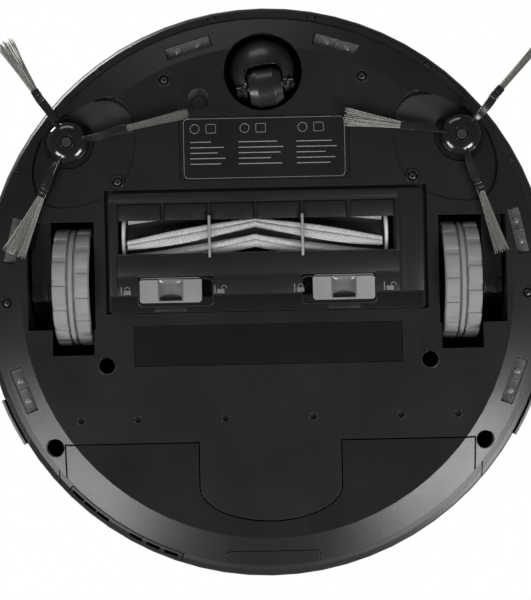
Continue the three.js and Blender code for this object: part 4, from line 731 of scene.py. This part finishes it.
# ---- Brush guard and its latches ---------------------------------------------------------------
# Black moulded frame over the brush with a bevelled mouth, held by two grey sliding latches. Thin
# pale bars keep cloth out of the brush.
dress(shell_black, "brush_guard")
guard_black = moulded("guard_black", (0.012, 0.012, 0.0122), (0.07, 0.07, 0.07), rough=0.34)
low, high = span("brush_guard")
guard_half = high.x
FACE = 10.0
PROUD, SKIN_BACK = FACE - 0.55, FACE + 0.4
MOUTH_RIGHT, MOUTH_LEFT, MOUTH_FRONT, MOUTH_REAR = -92.0, 80.0, -57.2, -24.9
COVER_SEAM, SKIN_END = 82.6, 0.6
POCKET_FRONT, POCKET_REAR, POCKET_ROUND = -9.4, 7.5, 3
SLIDE_ROOM, LATCH_GAP = 7.0, 1.0
RIB_PLACES = (-93, -65, -36, -7.2, 21.6, 50.3, 80.5)
latches = {name: span(f"guard_latch_{name}") for name, _ in SIDES}
pockets = (
    (latches["right"][0].x - LATCH_GAP, latches["right"][1].x + SLIDE_ROOM),
    (latches["left"][0].x - SLIDE_ROOM, latches["left"][1].x + LATCH_GAP),
)


def panel(x0, x1, y0, y1):
    """Flat part of the guard's skin."""
    brick(form, (x0, y0, PROUD), (x1, y1, SKIN_BACK), 0.35)


def rounded_outline(x0, x1, y0, y1, corner, z, steps):
    """Closed outline of a rectangle with round corners."""
    path = []
    for cx, cy, first in (
        (x1 - corner, y1 - corner, 0),
        (x0 + corner, y1 - corner, 90),
        (x0 + corner, y0 + corner, 180),
        (x1 - corner, y0 + corner, 270),
    ):
        for k in range(steps + 1):
            a = math.radians(first + k * 90 / steps)
            path.append(Vector((cx + corner * math.cos(a), cy + corner * math.sin(a), z)))
    return path


form = bmesh.new()
panel(-guard_half + 0.5, COVER_SEAM, low.y + 0.4, -57.6)
panel(-guard_half + 0.5, MOUTH_RIGHT - 1.4, -58.2, SKIN_END)
panel(MOUTH_RIGHT - 1.0, COVER_SEAM, -24.4, -10.9)
stops = [MOUTH_RIGHT - 1.0, *pockets[0], *pockets[1], COVER_SEAM]
for a, b in zip(stops[::2], stops[1::2]):
    panel(a, b, -11.7, SKIN_END)
panel(MOUTH_LEFT + 0.9, COVER_SEAM, -58.0, -24.0)
brick(form, (84.0, low.y + 0.4, PROUD + 0.15), (guard_half - 0.5, SKIN_END, SKIN_BACK), 0.4)
for y in (MOUTH_FRONT, MOUTH_REAR):
    ends = [Vector((x, y, PROUD + 0.1)) for x in (MOUTH_RIGHT - 1.2, MOUTH_LEFT + 1.4)]
    tube(form, ends, 0.45, 8)
for x in (MOUTH_RIGHT - 1.2, MOUTH_LEFT + 1.2):
    tube(form, [Vector((x, y, PROUD + 0.1)) for y in (MOUTH_FRONT, MOUTH_REAR)], 0.45, 8)
for a, b in zip(RIB_PLACES, RIB_PLACES[1:]):
    brick(form, (a + 0.5, -56.2, 10.7), (b - 0.5, -46.2, 12.2), 0.5)
for a, b in pockets:
    outline = rounded_outline(a, b, POCKET_FRONT, POCKET_REAR, POCKET_ROUND, FACE - 0.15, 4)
    tube(form, outline, 0.5, 8, closed=True)
piece("guard_skin", "brush_guard", guard_black, form)
# A near-black strip along the guard's rear edge is painted shade, standing for the dark gap behind the
# guard.
form = bmesh.new()
brick(form, (-guard_half + 1.5, 1.8, FACE - 0.2), (guard_half - 1.5, high.y - 0.5, FACE + 0.6), 0.3)
piece("guard_rear_shade_strip", "brush_guard", painted_shade_black, form)
pale_wire = moulded("pale_wire", (0.3, 0.3, 0.3), (0.45, 0.45, 0.45), rough=0.4)
form = bmesh.new()
BAR_PLACES = (-35.2, 22.6)
for x in BAR_PLACES:
    brick(form, (x - 0.85, -48.6, 7.9), (x + 0.85, -22.2, 9.6), 0.45)
piece("guard_bars", "brush_guard", pale_wire, form)

latch_grey = moulded("latch_grey", (0.26, 0.26, 0.262), (0.4, 0.4, 0.4), rough=0.5, grain=0.0006)
dress(latch_grey, "guard_latch_right", "guard_latch_left")
scoop_smoke = polished("scoop_smoke", (0.14, 0.14, 0.142), 0.24, 0.4)
mark_grey = moulded("mark_grey", (0.17, 0.17, 0.17), (0.3, 0.3, 0.3), rough=0.5, grain=0.0005)
marks, tabs = bmesh.new(), bmesh.new()
SIGN_Y, SIGN_FACE, SIGN_BACK = -2.6, PROUD - 0.12, PROUD + 0.2
for side_name, side in SIDES:
    low, high = latches[side_name]
    x, y = (low.x + high.x) / 2, -2.5
    form = bmesh.new()
    rows = []
    for i in range(17):
        u = -1 + i / 8
        rows.append([])
        for k in range(15):
            v = -1 + k / 7
            sink = (1 - u**6) * (1 - v**8) * (1.5 + 0.9 * math.cos(u * math.pi / 2))
            rows[-1].append(form.verts.new((x + 7.3 * u, y + 6.7 * v, FACE - 0.55 + sink)))
    for a, b in zip(rows, rows[1:]):
        for k in range(14):
            form.faces.new((a[k], a[k + 1], b[k + 1], b[k]))
    rim = [v.co.copy() for v in rows[0]] + [r[-1].co.copy() for r in rows[1:]]
    rim += [v.co.copy() for v in reversed(rows[-1][:-1])] + [r[0].co.copy() for r in reversed(rows[1:-1])]
    tube(form, rim, 0.35, 6, closed=True)
    piece(f"thumb_scoop_{side_name}", f"guard_latch_{side_name}", scoop_smoke, form)
    brick(tabs, (x - 10, 7.2, FACE - 0.3), (x + 10, 10.8, FACE + 0.5), 0.4)

    # Padlock signs: a shut one at the right of each latch and an open one at its left.
    for sign_x, bow_shift in ((x - 27.0, 0), (x + 31.0 if side < 0 else x + 28.7, 2.2)):
        body_low = (sign_x - 2.3, SIGN_Y - 0.2, SIGN_FACE)
        brick(marks, body_low, (sign_x + 2.3, SIGN_Y + 2.6, SIGN_BACK), 0.12, segments=1)
        bow = []
        for turn in range(-10, 191, 20):
            a = math.radians(turn)
            spot = (sign_x + bow_shift + 1.5 * math.cos(a), SIGN_Y - 0.6 - 1.7 * math.sin(a), PROUD)
            bow.append(Vector(spot))
        tube(marks, bow, 0.3, 6)
        bar_low = (sign_x - 4, SIGN_Y - 2.6, SIGN_FACE)
        brick(marks, bar_low, (sign_x - 3.2, SIGN_Y + 2.6, SIGN_BACK), 0.1, segments=1)
piece("latch_marks", "brush_guard", mark_grey, marks)
piece("latch_tabs", "brush_guard", dark_plastic, tabs)


# ---- Water tank and its latch ------------------------------------------------------------------
# Black tank whose underside continues the shell. Its press latch sits flush at the rear edge, with a
# fine lip round it.
tank_black = moulded("tank_black", (0.0075, 0.0075, 0.0077), (0.05, 0.05, 0.05), rough=0.3)
dress(tank_black, "water_tank", "tank_latch", softener=crisp_rounds)
dress(rubber_black, "fill_plug", "inlet_flap")


# ---- Label and strip ---------------------------------------------------------------------------
# A satin film plate in front of the brush, with blank bars, frames and rings in place of any
# print. A dark strip of film lies behind the guard.
label_film = moulded(
    "label_film", (0.0065, 0.0065, 0.0068), (0.02, 0.02, 0.02), rough=0.36, grain=0.0004
)
dress(label_film, "label_plate")
strip_black = moulded("strip_black", (0.0035, 0.0035, 0.0035), (0.008, 0.008, 0.008), rough=0.28)
dress(strip_black, "floor_strip")
print_grey = moulded("print_grey", (0.3, 0.3, 0.3), (0.4, 0.4, 0.4), rough=0.6, grain=0.0004)
INK = span("label_plate")[0].z - 0.04
TEXT_TOP, LINE_GAP, SIGN_ROW = -94, 3.4, -102.3
TEXT_COLUMNS = ((-46, (13, 21, 17, 22, 19)), (-16, (24, 28, 26, 20, 27)), (20, (22, 25, 18, 24, 21)))
form = bmesh.new()


def frame_of(x0, x1, y0, y1, corner=2.0, r=0.16):
    """Printed frame with round corners."""
    tube(form, rounded_outline(x0, x1, y0, y1, corner, INK + 0.05, 5), r, 4, closed=True)


frame_of(-50, 50, -108.5, -71.5, 3.0)
for column, (x0, widths) in enumerate(TEXT_COLUMNS):
    for line, width in enumerate(widths):
        y = TEXT_TOP + line * LINE_GAP + column * 0.2
        brick(form, (x0, y - 0.55 / 2, INK), (x0 + width, y + 0.55 / 2, INK + 0.12), 0)
for k, x in enumerate((-43, -33, -12, -2, 24, 34)):
    if k % 2:
        frame_of(x - 3, x + 3, -105, -99.6, 0.6, 0.18)
    else:
        turns = [i * math.pi / 12 for i in range(24)]
        ring = [Vector((x + 2.8 * math.cos(a), SIGN_ROW + 2.8 * math.sin(a), INK + 0.05)) for a in turns]
        tube(form, ring, 0.2, 4, closed=True)
piece("label_print", "chassis", print_grey, form)


# ---- Sensors in the underside ------------------------------------------------------------------
# Drop sensors look down through smoked windows with two small domes on each, and a round floor
# sensor lies deep in its hole beside the caster.
def window(name, colour, cloudy):
    """Hazed, slightly scuffed window plastic."""
    finish = Finish(name, Specular_IOR_Level=0.5)
    haze = finish.noise(0.005, 4, 0.65)
    flecks = finish.noise(0.0012, 3, 0.7).within(0.55, 0.7)
    rounded, rim = finish.edges(0.0003)
    finish.feed(
        Base_Color=finish.mix(haze.within(0.35, 0.65) * 0.7 + flecks * 0.3, colour, cloudy),
        Roughness=0.22 + haze * 0.2,
    )
    finish.bump(haze + flecks, 0.00005, rounded)
    return finish.material


lens_grey = window("lens_grey", (0.07, 0.07, 0.07), (0.15, 0.15, 0.15))
lenses = [n for n in nodes if n.startswith("cliff_lens")]
dress(lens_grey, *lenses)
DOME_PROFILE, DOME_OFFSET = [(0, -0.75), (1.3, -0.6), (2.1, -0.2), (2.4, 0.3)], 6.5
for name in lenses:
    low, high = span(name)
    middle = (low + high) / 2
    turn = math.degrees(math.atan2(middle.y, middle.x))
    form = bmesh.new()
    place = at(middle.x, middle.y, low.z, turn)
    for y in (-DOME_OFFSET, DOME_OFFSET):
        spin(form, DOME_PROFILE, 20, place @ at(0, y, 0))
    brick(form, (-2.4, -0.5, -0.35), (2.4, 0.5, 0.3), 0.2, place)
    piece(name.replace("lens", "domes"), "chassis", scoop_smoke, form)
sensor_grey = window("sensor_grey", (0.1, 0.1, 0.1), (0.16, 0.16, 0.16))
dress(sensor_grey, "floor_sensor")


# ---- Dust bin, lid, handle and filter ----------------------------------------------------------
# Smoked clear bin that lifts out of the deck, with a polished lid, a folding grey handle and a
# pleated paper filter.
grey_plastic = moulded("grey_plastic", (0.26, 0.26, 0.265), (0.42, 0.42, 0.42), rough=0.38)
dress(smoked, "dust_bin")
lid_black = polished("lid_black", (0.012, 0.012, 0.0125), 0.3, 0.1)
dress(lid_black, "bin_lid")
dress(grey_plastic, "bin_handle", "fan_impeller", "lidar_pulley")
dress(grey_plastic, "start_button", "reset_button", "power_switch")
paper = bristle("filter_paper", (0.6, 0.59, 0.55), (0.8, 0.79, 0.75))
dress(paper, "bin_filter")
low, high = span("bin_lid")
form = bmesh.new()
BEAD_IN, BEAD_ROUND = 4, 3
left, right, front, rear = high.x - BEAD_IN, low.x + BEAD_IN, low.y + BEAD_IN, high.y - BEAD_IN
tube(form, rounded_outline(right, left, front, rear, BEAD_ROUND, high.z, 6), 0.3, 8, closed=True)
for x in (-5, 0, 5):
    brick(form, (x - 1.4, -2.5, high.z - 0.1), (x + 1.4, -1.3, high.z + 0.3), 0.2)
piece("lid_bead", "bin_lid", gloss_black, form)


# ---- Laser turret ------------------------------------------------------------------------------
# A low tower on the deck: a fixed lid on four pillars over a spinning rotor that a belt drives from
# a small pulley.
dress(gloss_black, "lidar_rotor", "lidar_cap")
low, high = span("lidar_cap")
turret_at = (low + high) / 2
form = bmesh.new()
trim = [(30, -0.2), (30.3, -0.02), (31.2, -0.02), (31.5, -0.2), (30, -0.2)]
spin(form, [(r, high.z + z) for r, z in trim], 72, at(turret_at.x, turret_at.y, 0))
silver = metal("silver", (0.42, 0.42, 0.43), 0.25)
piece("turret_ring", "chassis", silver, form)

form = bmesh.new()
pulley = (Vector(hinge["lidar_pulley_spin"]["pos_m"]) - Vector(hinge["lidar_spin"]["pos_m"])) * 1000
ROTOR_GROOVE, PULLEY_GROOVE, BELT_Z = 24.35, 6.35, 90.2
aside = math.atan2(pulley.y, pulley.x)
belt = []
for x, y, r, first, steps in (
    (turret_at.x, turret_at.y, ROTOR_GROOVE, 105, 24),
    (turret_at.x + pulley.x, turret_at.y + pulley.y, PULLEY_GROOVE, -75, 8),
):
    for k in range(steps + 1):
        a = aside + math.radians(first + k * 150 / steps)
        belt.append(Vector((x + r * math.cos(a), y + r * math.sin(a), BELT_Z)))
tube(form, belt, 0.4, 6, closed=True)
piece("turret_belt", "chassis", rubber_black, form)


# ---- Deck marks, battery and board -------------------------------------------------------------
# The deck carries a fine metal ring round the start button. Inside are the battery in its shrink
# film and the lacquered main board.
low, high = span("start_button")
form = bmesh.new()
place = at((low.x + high.x) / 2, (low.y + high.y) / 2, 0)
BUTTON_RING = [(11.0, 83.9), (11.2, 84.25), (12.0, 84.25), (12.2, 83.9), (11.0, 83.9)]
spin(form, BUTTON_RING, 56, place)
piece("button_ring", "chassis", silver, form)
form = bmesh.new()
turns = [math.radians(turn) for turn in range(40, 321, 14)]
tube(form, [place @ Vector((3.2 * math.sin(a), 3.2 * math.cos(a), high.z)) for a in turns], 0.3, 6)
brick(form, (-0.35, 1.2, high.z - 0.1), (0.35, 4.4, high.z + 0.25), 0.1, place)
piece("start_mark", "start_button", gloss_black, form)
film = polished("cell_film", (0.03, 0.07, 0.16), 0.3, 0.2)
dress(film, "battery_pack")
lacquer = polished("lacquer", (0.015, 0.09, 0.035), 0.28, 0.3)
dress(lacquer, "main_board")


# ---- Studio ------------------------------------------------------------------------------------
# A pale room, and a pale floor that shows only from above and casts no shadow. Three softboxes
# light the underside from below the floor, and two light the deck.
def box_light(name, place, aim, size, power):
    """Rectangular softbox, in metres and watts."""
    data = bpy.data.lights.new(name, "AREA")
    data.shape = "RECTANGLE"
    data.size, data.size_y = size
    data.energy = power
    lamp = bpy.data.objects.new(name, data)
    bpy.context.scene.collection.objects.link(lamp)
    lamp.location = place
    lamp.rotation_euler = (Vector(aim) - Vector(place)).to_track_quat("-Z", "Y").to_euler()
    lamp.visible_camera = False


box_light("soft_rear_right", (-0.87, 0.82, -0.8), (0, 0, 0.02), (0.75, 0.45), 12)
box_light("soft_rear_left", (0.86, 0.84, -0.8), (0, 0, 0.02), (0.75, 0.45), 15)
box_light("soft_front", (-0.25, -1.35, -0.5), (0, 0, 0.02), (1.0, 0.4), 3)
box_light("soft_above", (-1.1, -1.3, 0.8), (0, 0, 0.05), (0.8, 0.8), 22)
box_light("soft_above_far", (1.3, 1.1, 0.6), (0, 0, 0.05), (0.8, 0.8), 10)

# Two small reflectors carry light into the wheel wells and the brush mouth, and nothing else.
pale_pieces = bpy.data.collections.new("pale_pieces")
for name in (
    "tread_tyre_right", "tread_tyre_left", "brush_bristle_rows", "brush_bristle_tips", "brush_end_caps",
):
    pale_pieces.objects.link(bpy.data.objects[name])
for name, y in (("reflector_front", -0.4), ("reflector_rear", 0.4)):
    box_light(name, (0, y, -1.1), (0, 0, 0.02), (1.0, 0.4), 6)
    bpy.data.objects[name].light_linking.receiver_collection = pale_pieces

world = bpy.data.worlds.new("pale_room")
bpy.context.scene.world = world
world.use_nodes = True
room = world.node_tree
seen = room.nodes.new("ShaderNodeLightPath")
dim, bright = room.nodes["Background"], room.nodes.new("ShaderNodeBackground")
dim.inputs["Color"].default_value = (1, 1, 1, 1)
dim.inputs["Strength"].default_value = 0.12
bright.inputs["Color"].default_value = (1, 1, 1, 1)
bright.inputs["Strength"].default_value = 1.0
choose = room.nodes.new("ShaderNodeMixShader")
room.links.new(seen.outputs["Is Camera Ray"], choose.inputs[0])
room.links.new(dim.outputs[0], choose.inputs[1])
room.links.new(bright.outputs[0], choose.inputs[2])
room.links.new(choose.outputs[0], room.nodes["World Output"].inputs["Surface"])

floor_mesh = bpy.data.meshes.new("floor")
floor_mesh.from_pydata([(-4, -4, 0), (4, -4, 0), (4, 4, 0), (-4, 4, 0)], [], [(0, 1, 2, 3)])
floor = bpy.data.objects.new("floor", floor_mesh)
floor.location.z = -0.0002
bpy.context.scene.collection.objects.link(floor)
pale = Finish("pale_floor", Roughness=0.7)
tone = pale.noise(0.4, 3)
pale.feed(Base_Color=pale.mix(tone, (0.82, 0.82, 0.82), (0.86, 0.86, 0.86)))
below = pale.add("ShaderNodeNewGeometry", {}, output="Backfacing")
clear = pale.add("ShaderNodeBsdfTransparent", {})
shown = Wire(pale, pale.shader.outputs[0])
both = pale.add("ShaderNodeMixShader", {}, {0: below, 1: shown, 2: clear})
pale.links.new(both.socket, pale.nodes["Material Output"].inputs["Surface"])
floor_mesh.materials.append(pale.material)
floor.visible_shadow = False
floor.visible_diffuse = False
floor.visible_glossy = False

# The camera looks straight up at the underside, with the front of the robot at the top.
VIEW_DISTANCE, VIEW_ANGLE, VIEW_ROLL = 0.972, 21.7, math.radians(1.2)
VIEW_X, VIEW_Y = -0.0012, 0.0048
camera_data = bpy.data.cameras.new("camera")
camera = bpy.data.objects.new("camera", camera_data)
bpy.context.scene.collection.objects.link(camera)
camera_data.sensor_fit = "VERTICAL"
camera_data.angle_y = math.radians(VIEW_ANGLE)
camera_data.clip_start = 0.01
ahead = Vector((0, 0, 1))
upward = Vector((math.sin(VIEW_ROLL), -math.cos(VIEW_ROLL), 0))
across = ahead.cross(upward)
stand = Matrix.Translation((VIEW_X, VIEW_Y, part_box("lower_shell")[0].z - VIEW_DISTANCE))
camera.matrix_world = stand @ Matrix((across, upward, -ahead)).transposed().to_4x4()
bpy.context.scene.camera = camera
bpy.context.scene.view_settings.view_transform = "Standard"
